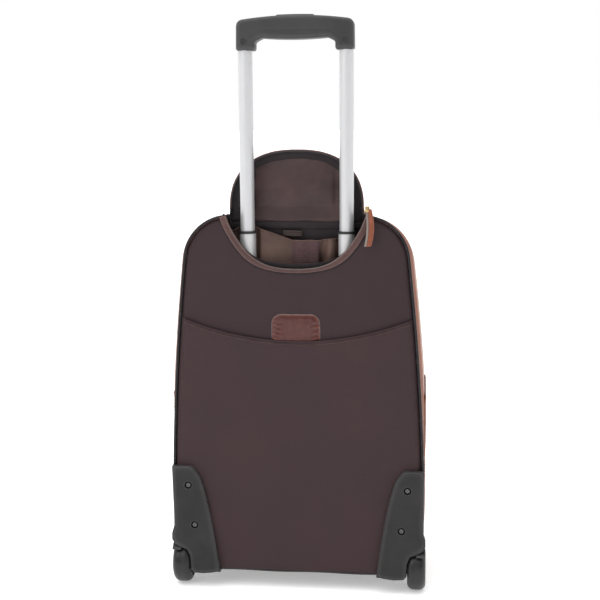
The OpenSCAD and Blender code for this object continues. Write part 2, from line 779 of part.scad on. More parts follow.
handle_y = 84;
anchor_x = 88;
anchor_z = crown_at(anchor_x, top_grow) + top_fall * (1 - handle_y / body_depth);
module handle_anchors() {
    color([0.46, 0.24, 0.16]) difference() {
        both_sides() translate([anchor_x, dy(handle_y), anchor_z]) difference() {
            translate([-9, -12, -5]) cube([26, 24, 15]);
            translate([-10, -6, 3]) cube([14, 20, 12]);
            translate([-10, 0, 6.4]) rotate([0, 90, 0]) cylinder(r = 2.3, h = 30);
        }
        body_form(-0.2, panel_t, body_depth, case_half_w);
    }
}

module carry_handle() {
    z = anchor_z + 6.4;
    color([0.46, 0.24, 0.16]) translate([0, dy(handle_y), z]) {
        for (s = [-1, 1]) translate([s > 0 ? anchor_x - 8.5 : -anchor_x - 11, 0, 0])
            rotate([0, 90, 0]) cylinder(r = 2.2, h = 19.5);
        both_sides() translate([anchor_x - 8.4, -2.2, -2.2]) cube([8, 38, 4.4]);
        translate([-anchor_x + 0.5, 30, 5.4]) rotate([0, 90, 0]) cylinder(r = 8, h = 2 * anchor_x - 1);
    }
}

// ---------- inside the main compartment ----------

module packing_straps() {
    color([0.15, 0.13, 0.13]) {
        both_sides() translate([50, dy(compartment_d + 3.1), 120]) cube([25, 1.4, 330]);
        translate([-18, dy(compartment_d + 3.1), 276]) cube([36, 6, 24]);
        both_sides() translate([17.9, dy(compartment_d + 3.1), 279]) cube([32.2, 1.4, 18]);
    }
}

back_panel();
pocket_panel();
pocket_tab();
scoop_binding();
back_piping();
side_wall();
side_overlay(-1);  // side_overlay_left
side_overlay(1);  // side_overlay_right
base_panel();
divider_board();
compartment_lining();
lining_webbing();
blank_label();
frame_hoops();
upper_bracket();
lower_bracket();
fixed_tube(-1);  // fixed_tube_left
fixed_tube(1);  // fixed_tube_right
fixed_tube_collars();
middle_tube(-1);  // middle_tube_left
middle_tube(1);  // middle_tube_right
middle_tube_collars();
middle_tube_guides();
upper_tube(-1);  // upper_tube_left
upper_tube(1);  // upper_tube_right
upper_tube_plugs();
grip_rear_shell();
grip_front_shell();
grip_screws();
grip_button();
release_rods();
button_springs();
lock_pin(-1);  // lock_pin_left
lock_pin(1);  // lock_pin_right
wheel_housing(-1);  // wheel_housing_left
wheel_housing(1);  // wheel_housing_right
housing_screws();
tyre(-1);  // tyre_left
tyre(1);  // tyre_right
hub(-1);  // hub_left
hub(1);  // hub_right
bearings(-1);  // bearings_left
bearings(1);  // bearings_right
axles();
axle_nuts();
front_feet();
flap_panel();
flap_slider();
flap_pull();
lid_rim();
front_panel();
front_pocket();
pocket_slider();
main_zip();
main_slider(-1);  // main_slider_left
main_slider(1);  // main_slider_right
handle_anchors();
carry_handle();
packing_straps();
front_piping();
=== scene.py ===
import math

import bmesh
import bpy
import numpy as np
from mathutils import Matrix, Vector, noise
from mathutils.geometry import delaunay_2d_cdt


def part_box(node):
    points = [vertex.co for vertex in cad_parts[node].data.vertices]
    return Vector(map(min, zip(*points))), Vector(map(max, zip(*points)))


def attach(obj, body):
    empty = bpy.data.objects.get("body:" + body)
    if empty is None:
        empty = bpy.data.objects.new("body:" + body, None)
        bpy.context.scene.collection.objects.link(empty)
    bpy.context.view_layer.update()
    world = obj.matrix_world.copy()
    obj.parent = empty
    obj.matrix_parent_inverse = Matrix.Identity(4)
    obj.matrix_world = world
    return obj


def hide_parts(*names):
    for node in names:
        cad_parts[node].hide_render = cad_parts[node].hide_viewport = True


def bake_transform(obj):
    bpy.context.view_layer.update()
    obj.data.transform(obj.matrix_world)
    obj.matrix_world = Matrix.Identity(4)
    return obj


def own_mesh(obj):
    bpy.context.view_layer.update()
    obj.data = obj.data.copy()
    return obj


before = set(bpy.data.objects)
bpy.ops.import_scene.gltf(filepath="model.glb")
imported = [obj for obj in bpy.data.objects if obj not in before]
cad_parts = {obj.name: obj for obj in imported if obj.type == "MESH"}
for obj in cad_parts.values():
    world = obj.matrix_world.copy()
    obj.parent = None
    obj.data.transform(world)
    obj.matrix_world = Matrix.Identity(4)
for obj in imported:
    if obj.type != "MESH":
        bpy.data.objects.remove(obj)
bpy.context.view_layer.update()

# Every length below is in millimetres: x across the case, d the depth behind the outer
# face of the back panel, z above the floor. place() turns one into metres in the frame.
MM = 0.001
BACK_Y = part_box("back_panel")[0].y
SIDE_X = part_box("back_panel")[1].x / MM
BASE_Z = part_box("back_panel")[0].z / MM
CROWN_Z = 540.0
DEPTH = 160.0
TOP_FALL = 24.0
SHOULDER_R, SHOULDER_X = 62.0, 90.7
# The crown is one flat arc, which takes over from the shoulder's arc at this angle.
CROWN_DEG = 80
CROWN_R = SHOULDER_R + SHOULDER_X / math.cos(math.radians(CROWN_DEG))
SIDE_CLIP = 176.0
MOUTH_HALF_W = 101.0
NECK_END = 99.6
COMPARTMENT_D = 40.0
SCOOP_Z, SCOOP_R = CROWN_Z + 21.5, 99.0
POCKET_Z, POCKET_R = 361.5, 427.0
TUBE_X, TUBE_D = 68.5, 22.0
SIDES = ((1, "right"), (-1, "left"))


def place(x, d, z):
    return Vector((x * MM, BACK_Y + d * MM, z * MM))


def wobble(x, y, z=0.0, scale=1.0):
    """Smooth noise between -1 and 1."""
    return noise.noise(Vector((x * scale, y * scale, z * scale)))


def smooth_step(a, b, v):
    t = min(max((v - a) / (b - a), 0.0), 1.0)
    return t * t * (3 - 2 * t)


def bell(v, centre, width):
    return math.exp(-(((v - centre) / width) ** 2))


def rise(from_edge, reach):
    """Climbs from 0 at an edge towards 1, most of the way within reach."""
    return 1 - math.exp(-from_edge / reach)


# ---------- outlines, in x and z ----------


def half_outline(side, top, fall):
    """Right half of the case's outline from the foot to the crown, grown by side and top."""
    shoulder_z = CROWN_Z - 69.9
    join_z = shoulder_z + 7.9
    foot_r, bow_z, join_deg, steps = 12, 60, 6.5, 24
    bow = (SIDE_X - SHOULDER_X - SHOULDER_R + 0.4) / (join_z - bow_z) ** 2
    points = []
    for i in range(7):
        a = math.radians(i * 15)
        points.append((SIDE_X + side - foot_r + foot_r * math.sin(a), BASE_Z + foot_r - foot_r * math.cos(a)))
    for i in range(steps + 1):
        z = bow_z + i * (join_z - fall - bow_z) / steps
        reach = (z - bow_z) * (join_z - bow_z) / (join_z - fall - bow_z)
        points.append((SIDE_X + side - bow * reach**2, z))
    x, z = SHOULDER_X + side - top, shoulder_z - fall
    for i in range(1, steps + 1):
        a = math.radians(join_deg + i * (CROWN_DEG - join_deg) / steps)
        points.append((x + (SHOULDER_R + top) * math.cos(a), z + (SHOULDER_R + top) * math.sin(a)))
    for i in range(1, 13):
        a = math.radians(CROWN_DEG + i * (90 - CROWN_DEG) / 12)
        points.append(((CROWN_R + side) * math.cos(a),
                       CROWN_Z - fall + top - CROWN_R + CROWN_R * math.sin(a)))
    return points


def outline(side=0.0, top=0.0, fall=0.0, clip=1000.0):
    """Closed outline, from the right foot over the crown to the left foot."""
    half = [(min(x, clip), z) for x, z in half_outline(side, top, fall)]
    return half + [(-x, z) for x, z in half[-2::-1]]


def top_surface(x, d):
    """Height of the case's top, which falls towards the front."""
    return CROWN_Z + 3 - CROWN_R + math.sqrt(CROWN_R**2 - x * x) - TOP_FALL * d / DEPTH


def neckline(grow=0.0, top_z=532.0, steps=72):
    """Scooped neckline from its right end, down and up to its left end."""
    points = []
    end = math.asin((top_z - SCOOP_Z) / (SCOOP_R + grow + 2.6))
    for i in range(steps + 1):
        a = end + i * (-math.pi - 2 * end) / steps
        from_low = abs(math.degrees(a) + 90)
        r = SCOOP_R + grow + 3.2 * math.sin(math.radians(3 * min(from_low, 60))) ** 2
        r += 2.6
        points.append((r * math.cos(a), SCOOP_Z + r * math.sin(a)))
    return points


def mouth_z(x):
    """Height of the slip pocket's curved mouth."""
    return POCKET_Z + POCKET_R - math.sqrt(POCKET_R**2 - x * x)


def pocket_mouth(half_w=162.0, steps=60):
    """Curved mouth of the slip pocket, from left to right."""
    xs = [-half_w + i * 2 * half_w / steps for i in range(steps + 1)]
    return [(x, mouth_z(x)) for x in xs]


def rounded(corners, steps=8):
    """Closed outline through (x, z, radius) corners, each rounded by an arc."""
    points = []
    n = len(corners)
    for i, (x, z, r) in enumerate(corners):
        p = Vector((x, z))
        to_prev = (Vector(corners[i - 1][:2]) - p).normalized()
        to_next = (Vector(corners[(i + 1) % n][:2]) - p).normalized()
        half = to_prev.angle(to_next) / 2
        if r <= 0 or half > 1.55:
            points.append((x, z))
            continue
        reach = r / math.tan(half)
        centre = p + (to_prev + to_next).normalized() * (r / math.sin(half))
        a = p + to_prev * reach - centre
        b = p + to_next * reach - centre
        turn = math.atan2(a.x * b.y - a.y * b.x, a.dot(b))
        for k in range(steps + 1):
            c, s = math.cos(turn * k / steps), math.sin(turn * k / steps)
            points.append((centre.x + a.x * c - a.y * s, centre.y + a.x * s + a.y * c))
    return points


def resample(points, step, closed=False):
    """Even points along a line."""
    pts = np.array(points + [points[0]] if closed else points, float)
    along = np.concatenate([[0], np.cumsum(np.linalg.norm(np.diff(pts, axis=0), axis=1))])
    count = max(int(round(along[-1] / step)), 3)
    at = np.linspace(0, along[-1], count + 1)
    out = np.stack([np.interp(at, along, pts[:, k]) for k in range(pts.shape[1])], axis=1)
    out = out[:-1] if closed else out
    return [tuple(float(v) for v in p) for p in out]


def inset(points, by):
    """A closed outline moved inwards; the outline runs anticlockwise."""
    n = len(points)
    moved = []
    for i, (x, z) in enumerate(points):
        ax, az = points[i - 1]
        bx, bz = points[(i + 1) % n]
        tx, tz = bx - ax, bz - az
        size = math.hypot(tx, tz) or 1.0
        moved.append((x - tz / size * by, z + tx / size * by))
    return moved


def distances(pts, line, closed):
    """Distance of each point from a line, and whether it lies inside if the line is closed."""
    pts = np.array(pts, float)
    a = np.array(line, float)
    b = np.roll(a, -1, axis=0)
    if not closed:
        a, b = a[:-1], b[:-1]
    best = np.full(len(pts), 1e9)
    inside = np.zeros(len(pts), bool)
    for (ax, az), (bx, bz) in zip(a, b):
        dx, dz = bx - ax, bz - az
        t = np.clip(((pts[:, 0] - ax) * dx + (pts[:, 1] - az) * dz) / max(dx * dx + dz * dz, 1e-12), 0, 1)
        best = np.minimum(best, np.hypot(pts[:, 0] - ax - t * dx, pts[:, 1] - az - t * dz))
        if az != bz:
            crosses = (az > pts[:, 1]) != (bz > pts[:, 1])
            inside ^= crosses & (pts[:, 0] < dx * (pts[:, 1] - az) / dz + ax)
    return best, inside


# ---------- mesh makers ----------


def make(name, verts, faces, material, smooth=True):
    """A mesh from points in x, d, z millimetres."""
    mesh = bpy.data.meshes.new(name)
    mesh.from_pydata([place(*v) for v in verts], [], faces)
    mesh.materials.append(material)
    mesh.polygons.foreach_set("use_smooth", [smooth] * len(mesh.polygons))
    mesh.update()
    obj = bpy.data.objects.new(name, mesh)
    bpy.context.scene.collection.objects.link(obj)
    return obj


def anticlockwise(line):
    area = sum(line[i - 1][0] * p[1] - p[0] * line[i - 1][1] for i, p in enumerate(line))
    return line if area > 0 else line[::-1]


def fill(boundary, step, near=()):
    """Even points inside a closed outline and the triangles between them; near adds rows by the edge."""
    edge = resample(anticlockwise(boundary), step, closed=True)
    arr = np.array(edge)
    lo, hi = arr.min(0), arr.max(0)
    grid = []
    row = 0
    z = lo[1] + step * 0.5
    while z < hi[1]:
        shift = (row % 2) * step / 2
        grid += [(x, z) for x in np.arange(lo[0] + shift, hi[0], step)]
        z += step * 0.866
        row += 1
    far, inside = distances(grid, edge, True)
    clear = max([0.6 * step] + [by + 0.4 * step for by in near])
    grid = [g for g, f, i in zip(grid, far, inside) if i and f > clear]
    for by in near:
        row = inset(edge, by)
        far, inside = distances(row, edge, True)
        grid += [g for g, f, i in zip(row, far, inside) if i and f > 0.9 * by]
    coords = [Vector(p) for p in edge + grid]
    loop = [(i, (i + 1) % len(edge)) for i in range(len(edge))]
    points, _, faces, *_ = delaunay_2d_cdt(coords, loop, [], 1, 1e-6)
    return [(p.x, p.y) for p in points], [tuple(f) for f in faces], len(edge)


def two_faced(name, points, faces, depths, thickness, material, lean=None):
    """A panel from filled points, with a back face thickness behind its front one."""
    n = len(points)
    verts = [(x, d, z) for (x, z), d in zip(points, depths)]
    verts += [(x, d + thickness, z) for x, d, z in verts]
    everything = list(faces) + [tuple(n + i for i in reversed(f)) for f in faces]
    seen = dict.fromkeys((f[i], f[(i + 1) % 3]) for f in faces for i in range(3))
    everything += [(b, a, n + a, n + b) for a, b in seen if (b, a) not in seen]
    return make(name, [lean(v) for v in verts] if lean else verts, everything, material)


def sheet_piece(name, boundary, step, depth, thickness, material, lean=None):
    """A sewn panel: depth(x, z, from_edge) gives its face."""
    points, faces, _ = fill(boundary, step)
    from_edge, _ = distances(points, boundary, True)
    depths = [depth(x, z, e) for (x, z), e in zip(points, from_edge)]
    return two_faced(name, points, faces, depths, thickness, material, lean)


def skin(base, n, m, close_ring=True, close_path=False, caps=True):
    """Faces over m rings of n points each, whose first point has the index base."""
    faces = []
    for i in range(m if close_path else m - 1):
        j = (i + 1) % m
        for k in range(n if close_ring else n - 1):
            k2 = (k + 1) % n
            faces.append((base + i * n + k, base + i * n + k2, base + j * n + k2, base + j * n + k))
    if caps and close_ring and not close_path:
        faces.append(tuple(base + k for k in reversed(range(n))))
        faces.append(tuple(base + (m - 1) * n + k for k in range(n)))
    return faces


def loft(name, rings, material, close_ring=True, close_path=False, caps=True):
    """A skin over rings of equal length, each a list of (x, d, z)."""
    faces = skin(0, len(rings[0]), len(rings), close_ring, close_path, caps)
    obj = make(name, [p for ring in rings for p in ring], faces, material)
    fix_normals(obj)
    return obj


def fix_normals(obj):
    bm = bmesh.new()
    bm.from_mesh(obj.data)
    bmesh.ops.recalc_face_normals(bm, faces=bm.faces)
    bm.to_mesh(obj.data)
    bm.free()


def frames(path, closed=False, up=(0, 1, 0)):
    """(point, side, up) along a path of (x, d, z), the side lying across the path and up."""
    pts = [Vector(p) for p in path]
    n = len(pts)
    out = []
    for i, p in enumerate(pts):
        a = pts[i - 1] if i or closed else pts[0]
        b = pts[(i + 1) % n] if i < n - 1 or closed else pts[-1]
        t = (b - a).normalized()
        u = Vector(up)
        side = t.cross(u).normalized()
        out.append((p, side, side.cross(t).normalized()))
    return out


def tube(name, path, radius, material, sides=12, closed=False, up=(0, 1, 0)):
    """A round cord along a path; radius is a number or a function of the place along it."""
    rings = []
    along = 0.0
    last = None
    for p, side, upward in frames(path, closed, up):
        along += (p - last).length if last is not None else 0.0
        last = p
        r = radius(along) if callable(radius) else radius
        ring = []
        for k in range(sides):
            a = 2 * math.pi * k / sides
            ring.append(tuple(p + side * (r * math.cos(a)) + upward * (r * math.sin(a))))
        rings.append(ring)
    return loft(name, rings, material, close_path=closed)


def ribbon(name, path, profile, material, closed=False, up=(0, 1, 0), change=None):
    """A closed profile of (across, out) points swept along a path."""
    rings = []
    for i, (p, side, upward) in enumerate(frames(path, closed, up)):
        ring = []
        for k, (across, out) in enumerate(profile):
            if change:
                across, out = change(i, k, across, out)
            ring.append(tuple(p + side * across + upward * out))
        rings.append(ring)
    return loft(name, rings, material, close_path=closed)


def pillow(name, boundary, d0, d1, round_front, round_back, material, steps=5, lean=None):
    """A moulded plate: an outline between depths d0 and d1 with rounded front and back edges."""
    rings = []
    for k in range(steps + 1):
        a = math.pi / 2 * k / steps
        rings.append((round_front * (1 - math.sin(a)), d0 + round_front * (1 - math.cos(a))))
    for k in range(steps + 1):
        a = math.pi / 2 * (1 - k / steps)
        rings.append((round_back * (1 - math.sin(a)), d1 - round_back * (1 - math.cos(a))))
    rings = [[(x, d, z) for x, z in inset(boundary, by)] for by, d in rings]
    if lean:
        rings = [[lean(v) for v in ring] for ring in rings]
    obj = loft(name, rings, material)
    sharpen(obj)
    return obj


def plate(name, boundary, step, d0, d1, round_front, round_back, material, lean=None, relief=None):
    """A moulded plate between depths d0 and d1, its edges rounded by arcs of any radius."""
    points, faces, rim = fill(boundary, step, (0.15 * round_front, 0.4 * round_front))
    gap, _ = distances(points, boundary, True)

    def turn(e, r):
        return r - math.sqrt(max(r * r - max(r - e, 0.0) ** 2, 0.0))

    verts = [(x, d0 + turn(e, round_front) + (relief(x, z) if relief else 0), z)
             for (x, z), e in zip(points, gap)]
    verts += [(x, d1 - turn(e, round_back), z) for (x, z), e in zip(points, gap)]
    n = len(points)
    everything = list(faces) + [tuple(n + i for i in reversed(f)) for f in faces]
    everything += [((i + 1) % rim, i, n + i, n + (i + 1) % rim) for i in range(rim)]
    if lean:
        verts = [lean(v) for v in verts]
    obj = make(name, verts, everything, material)
    fix_normals(obj)
    sharpen(obj, 50)
    return obj


def sharpen(obj, degrees=40):
    """Keeps edges over an angle crisp under smooth shading."""
    bm = bmesh.new()
    bm.from_mesh(obj.data)
    for e in bm.edges:
        e.smooth = not (len(e.link_faces) == 2 and e.calc_face_angle(0) > math.radians(degrees))
    bm.to_mesh(obj.data)
    bm.free()


def stitches(name, path, face, material, stitch=3.6, gap=1.2, radius=0.32):
    """Sewn thread along a path: each stitch is a small arched cord whose ends go into the cloth."""
    points = resample(path, stitch + gap)
    verts, faces = [], []
    sides, rows = 6, 5
    out = Vector(face)
    for a, b in zip(points[:-1], points[1:]):
        a, b = Vector(a), Vector(b)
        along = (b - a).normalized()
        start = a + along * gap / 2
        side = along.cross(out).normalized()
        base = len(verts)
        for i in range(rows):
            t = i / (rows - 1)
            lift = math.sin(math.pi * t) * 0.9 - 0.45
            r = radius * (0.75 + 0.25 * math.sin(math.pi * t))
            centre = start + along * (stitch * t) + out * (lift * radius * 1.6)
            for k in range(sides):
                c, s = math.cos(2 * math.pi * k / sides), math.sin(2 * math.pi * k / sides)
                verts.append(tuple(centre + side * (r * c) + out * (r * s)))
        faces += skin(base, sides, rows)
    obj = make(name, verts, faces, material)
    fix_normals(obj)
    return obj


def on_face(line, depth):
    """Lifts a line of (x, z) points onto a face."""
    return [(x, depth(x, z), z) for x, z in line]


# ---------- materials ----------


def linear(r, g, b):
    """Linear colour from an 8-bit screen colour."""
    def one(v):
        v /= 255
        return v / 12.92 if v <= 0.04045 else ((v + 0.055) / 1.055) ** 2.4

    return (one(r), one(g), one(b), 1.0)


class Shader:
    """A node material with short calls for what the materials below share."""

    def __init__(self, name, roughness=0.5, **sockets):
        self.material = bpy.data.materials.new(name)
        self.material.use_nodes = True
        self.nodes, self.links = self.material.node_tree.nodes, self.material.node_tree.links
        self.bsdf = self.nodes["Principled BSDF"]
        self.bsdf.inputs["Roughness"].default_value = roughness
        for socket, value in sockets.items():
            self.bsdf.inputs[socket.replace("_", " ")].default_value = value
        self.coords = self.nodes.new("ShaderNodeTexCoord").outputs["Object"]
        self.height = None

    def mapped(self, scale):
        """Object coordinates stretched by a scale for each axis."""
        node = self.nodes.new("ShaderNodeMapping")
        node.inputs["Scale"].default_value = scale
        self.links.new(self.coords, node.inputs["Vector"])
        return node.outputs["Vector"]

    def noise(self, scale, detail=3.0, rough=0.55, vector=None, distortion=0.0):
        node = self.nodes.new("ShaderNodeTexNoise")
        node.inputs["Scale"].default_value = scale
        node.inputs["Detail"].default_value = detail
        node.inputs["Roughness"].default_value = rough
        node.inputs["Distortion"].default_value = distortion
        self.links.new(vector or self.coords, node.inputs["Vector"])
        return node.outputs["Fac"]

    def cells(self, scale, feature="F1", vector=None):
        node = self.nodes.new("ShaderNodeTexVoronoi")
        node.feature = feature
        node.inputs["Scale"].default_value = scale
        self.links.new(vector or self.coords, node.inputs["Vector"])
        return node.outputs["Distance"]

    def math(self, kind, a, b=None):
        node = self.nodes.new("ShaderNodeMath")
        node.operation = kind
        for socket, value in zip(node.inputs, (a, b)):
            if value is None:
                continue
            if isinstance(value, (int, float)):
                socket.default_value = value
            else:
                self.links.new(value, socket)
        return node.outputs[0]

    def spread(self, value, low, high, to_low=0.0, to_high=1.0):
        node = self.nodes.new("ShaderNodeMapRange")
        node.inputs["From Min"].default_value = low
        node.inputs["From Max"].default_value = high
        node.inputs["To Min"].default_value = to_low
        node.inputs["To Max"].default_value = to_high
        self.links.new(value, node.inputs["Value"])
        return node.outputs["Result"]

    def mix(self, factor, a, b, kind="MIX"):
        node = self.nodes.new("ShaderNodeMix")
        node.data_type = "RGBA"
        node.blend_type = kind
        for socket, value in ((node.inputs[0], factor), (node.inputs[6], a), (node.inputs[7], b)):
            if isinstance(value, (int, float, tuple)):
                socket.default_value = value
            else:
                self.links.new(value, socket)
        return node.outputs[2]

    def weave(self, pitch):
        """Height of a plain weave whose threads are pitch metres apart."""
        node = self.nodes.new("ShaderNodeSeparateXYZ")
        self.links.new(self.coords, node.inputs[0])
        waves = [self.math("SINE", self.math("MULTIPLY", o, math.pi / pitch)) for o in node.outputs]
        return self.math("MULTIPLY", self.math("ADD", waves[0], waves[1]), waves[2])

    def edges(self):
        """Bright on outer edges and dark in creases."""
        return self.nodes.new("ShaderNodeNewGeometry").outputs["Pointiness"]

    def colour(self, value):
        self.links.new(value, self.bsdf.inputs["Base Color"])

    def roughness(self, value):
        self.links.new(value, self.bsdf.inputs["Roughness"])

    def bump(self, height, distance, strength=1.0):
        node = self.nodes.new("ShaderNodeBump")
        node.inputs["Strength"].default_value = strength
        node.inputs["Distance"].default_value = distance
        self.links.new(height, node.inputs["Height"])
        if self.height is not None:
            self.links.new(self.height, node.inputs["Normal"])
        self.height = node.outputs["Normal"]
        self.links.new(self.height, self.bsdf.inputs["Normal"])


def woven(name, base, dark, pitch=0.0005, roughness=0.62, sheen=0.05, bump=0.00012):
    s = Shader(name, roughness, Sheen_Weight=sheen, Sheen_Roughness=0.35)
    s.bsdf.inputs["Specular IOR Level"].default_value = 0.18
    threads = s.weave(pitch)
    cloudy = s.spread(s.noise(9.0, 4.0), 0.35, 0.65)
    fibres = s.spread(s.noise(1400.0, 2.0), 0.3, 0.7)
    tone = s.mix(cloudy, dark, base)
    tone = s.mix(s.math("MULTIPLY", fibres, 0.35), tone, tuple(min(1, c * 1.5) for c in base[:3]) + (1,))
    tone = s.mix(s.math("MULTIPLY", s.spread(threads, -1.2, 1.2), 0.3), tone, dark)
    s.colour(tone)
    s.roughness(s.spread(cloudy, 0, 1, roughness - 0.05, roughness + 0.06))
    s.bump(threads, bump, 0.6)
    s.bump(s.noise(45.0, 3.0), 0.0008, 0.35)
    return s.material


def leather(name, base, dark, wear_and_highlight, roughness=0.38, grain=750.0, coat=0.12, wear=0.35):
    s = Shader(name, roughness, Coat_Weight=coat, Coat_Roughness=0.28, Specular_IOR_Level=0.32)
    clouds = s.spread(s.noise(6.0, 3.0, 0.5), 0.3, 0.7)
    fine = s.noise(160.0, 4.0)
    pores = s.cells(grain)
    creases = s.cells(grain * 0.28, "DISTANCE_TO_EDGE")
    tone = s.mix(clouds, dark, base)
    tone = s.mix(s.math("MULTIPLY", s.spread(fine, 0.45, 0.75), 0.16), tone, wear_and_highlight)
    tone = s.mix(s.math("MULTIPLY", s.spread(s.edges(), 0.51, 0.60), wear), tone, wear_and_highlight)
    tone = s.mix(s.math("MULTIPLY", s.spread(creases, 0.10, 0.0), 0.45), tone, dark)
    s.colour(tone)
    s.roughness(s.spread(fine, 0.3, 0.7, roughness - 0.08, roughness + 0.12))
    s.bump(s.spread(creases, 0.0, 0.12), 0.00018, 0.6)
    s.bump(pores, 0.00012, 0.5)
    s.bump(s.noise(55.0, 4.0), 0.0012, 0.35)
    return s.material


def plastic(name, base, roughness=0.42, grain=2600.0, bump=0.00006, edge=1.35, rim=0.4, gloss=0.34):
    s = Shader(name, roughness, Specular_IOR_Level=gloss)
    speckle = s.noise(grain, 2.0)
    clouds = s.noise(18.0, 3.0)
    lighter = tuple(min(1, c * edge) for c in base[:3]) + (1,)
    tone = s.mix(s.math("MULTIPLY", s.spread(clouds, 0.35, 0.65), 0.35), base, lighter)
    # Outer edges, where pointiness is high, are lightened by rim towards this colour: a painted highlight
    # along the edges.
    wear_and_highlight = tuple(min(1, c * edge * 1.5) for c in base[:3]) + (1,)
    tone = s.mix(s.math("MULTIPLY", s.spread(s.edges(), 0.507, 0.56), rim), tone, wear_and_highlight)
    s.colour(tone)
    s.roughness(s.spread(clouds, 0.3, 0.7, roughness - 0.05, roughness + 0.07))
    s.bump(speckle, bump, 0.8)
    return s.material


def metal(name, base, roughness=0.25, brushed=(1.0, 1.0, 0.02), lines=900.0, bump=0.00002, metallic=1.0):
    s = Shader(name, roughness, Metallic=metallic)
    streaks = s.noise(lines, 3.0, vector=s.mapped(brushed))
    smudge = s.noise(22.0, 3.0)
    darker = tuple(c * 0.95 for c in base[:3]) + (1,)
    s.colour(s.mix(s.spread(streaks, 0.3, 0.7), darker, base))
    s.roughness(s.math("ADD", s.spread(streaks, 0.3, 0.7, -0.02, 0.02),
                       s.spread(smudge, 0.3, 0.7, roughness - 0.03, roughness + 0.05)))
    s.bump(streaks, bump, 0.3)
    return s.material


def vinyl(name, base):
    s = Shader(name, 0.25, Coat_Weight=0.05, Coat_Roughness=0.2, Specular_IOR_Level=0.16)
    clouds = s.noise(60.0, 3.0)
    s.colour(s.mix(s.spread(clouds, 0.35, 0.65), base, tuple(min(1, c * 1.8) for c in base[:3]) + (1,)))
    s.roughness(s.spread(clouds, 0.3, 0.7, 0.17, 0.32))
    s.bump(s.noise(420.0, 3.0), 0.0004, 0.35)
    return s.material


def satin(name, base, dark, light):
    s = Shader(name, 0.42, Sheen_Weight=0.08, Sheen_Roughness=0.25, Specular_IOR_Level=0.3)
    threads = s.weave(0.0003)
    clouds = s.spread(s.noise(16.0, 4.0), 0.35, 0.65)
    # Broad streaks of stretched noise lighten the cloth towards light: a painted sheen.
    sheen = s.spread(s.noise(7.0, 2.0, vector=s.mapped((1.0, 1.0, 2.4))), 0.45, 0.7)
    tone = s.mix(clouds, dark, base)
    s.colour(s.mix(s.math("MULTIPLY", sheen, 0.5), tone, light))
    s.roughness(s.spread(clouds, 0, 1, 0.36, 0.5))
    s.bump(threads, 0.00005, 0.5)
    s.bump(s.noise(30.0, 4.0), 0.0012, 0.4)
    return s.material


def rubber(name, base, roughness=0.42):
    s = Shader(name, roughness, Specular_IOR_Level=0.4)
    dust = s.spread(s.noise(70.0, 4.0), 0.45, 0.75)
    s.colour(s.mix(s.math("MULTIPLY", dust, 0.07), base, linear(110, 106, 100)))
    s.roughness(s.spread(dust, 0, 1, roughness - 0.06, roughness + 0.12))
    s.bump(s.noise(1800.0, 2.0), 0.00005, 0.7)
    return s.material


NYLON = woven("nylon", linear(57, 43, 46), linear(49, 37, 40))
NYLON_POCKET = woven("nylon_pocket", linear(62, 46, 48), linear(53, 40, 42))
COGNAC = leather("cognac_leather", linear(136, 76, 49), linear(118, 64, 42), linear(172, 112, 78))
TAB_LEATHER = leather("tab_leather", linear(88, 40, 34), linear(62, 28, 26), linear(142, 84, 70),
                      roughness=0.3, wear=0.5)
BINDING_LEATHER = leather("binding_leather", linear(86, 55, 51), linear(60, 38, 37), linear(120, 90, 84),
                          wear=0.6)
PULL_LEATHER = leather("pull_leather", linear(146, 78, 50), linear(110, 56, 38), linear(186, 126, 96))
# The last colour of each satin is the light of its painted sheen.
LINING = satin("satin_lining", linear(96, 74, 66), linear(70, 52, 47), linear(126, 102, 92))
FLAP_SATIN = satin("flap_satin", linear(72, 53, 52), linear(54, 39, 39), linear(94, 74, 70))
DARK_TAPE = woven("dark_tape", linear(44, 38, 40), linear(30, 26, 28), pitch=0.0006, sheen=0.1)
WEBBING = woven("webbing", linear(93, 70, 72), linear(70, 52, 54), pitch=0.0012, bump=0.0003)
THREAD = woven("thread", linear(96, 68, 62), linear(88, 66, 62), pitch=0.0003, sheen=0.2)
DARK_THREAD = woven("dark_thread", linear(78, 58, 54), linear(58, 42, 40), pitch=0.0003, sheen=0.2)
PIPING = vinyl("piping", linear(30, 27, 29))
# Each plastic's rim lightens its outer edges: a painted highlight.
GRIP_PLASTIC = plastic("grip_plastic", linear(54, 54, 55), edge=1.6, rim=0.5, gloss=0.24)
HOUSING_PLASTIC = plastic("housing_plastic", linear(38, 37, 37), roughness=0.34, edge=2.4, rim=0.7,
                          gloss=0.19)
BLACK_PLASTIC = plastic("black_plastic", linear(34, 34, 35))
SHADE_PLASTIC = plastic("shade_plastic", linear(12, 12, 12), roughness=0.6, gloss=0.08)
NYLON_PLASTIC = plastic("white_nylon", linear(214, 212, 204), edge=1.05)
BOARD = plastic("black_board", linear(40, 38, 39), roughness=0.6, grain=700.0, bump=0.0002)
HUB_PLASTIC = plastic("hub_plastic", linear(60, 60, 62), roughness=0.3)
TYRE = rubber("tyre_rubber", linear(26, 26, 27))
FOOT = rubber("foot_rubber", linear(36, 36, 37))
ALUMINIUM = metal("tube_aluminium", (0.59, 0.59, 0.60, 1), 0.42, lines=1500.0, bump=0.000004, metallic=0.45)
STEEL = metal("steel", (0.55, 0.56, 0.58, 1), 0.3, (1.0, 1.0, 1.0), 300.0)
SCREW = metal("screw_black", (0.12, 0.12, 0.122, 1), 0.38, (1.0, 1.0, 1.0), 300.0)
GRIP_SCREW = metal("grip_screw", (0.05, 0.05, 0.052, 1), 0.42, (1.0, 1.0, 1.0), 300.0, metallic=0.6)
BRASS = metal("zip_brass", (0.52, 0.38, 0.18, 1), 0.32, (1.0, 1.0, 1.0), 400.0)
LABEL_LEATHER = leather("label_leather", linear(42, 24, 20), linear(32, 18, 16), linear(54, 34, 28), wear=0.1)
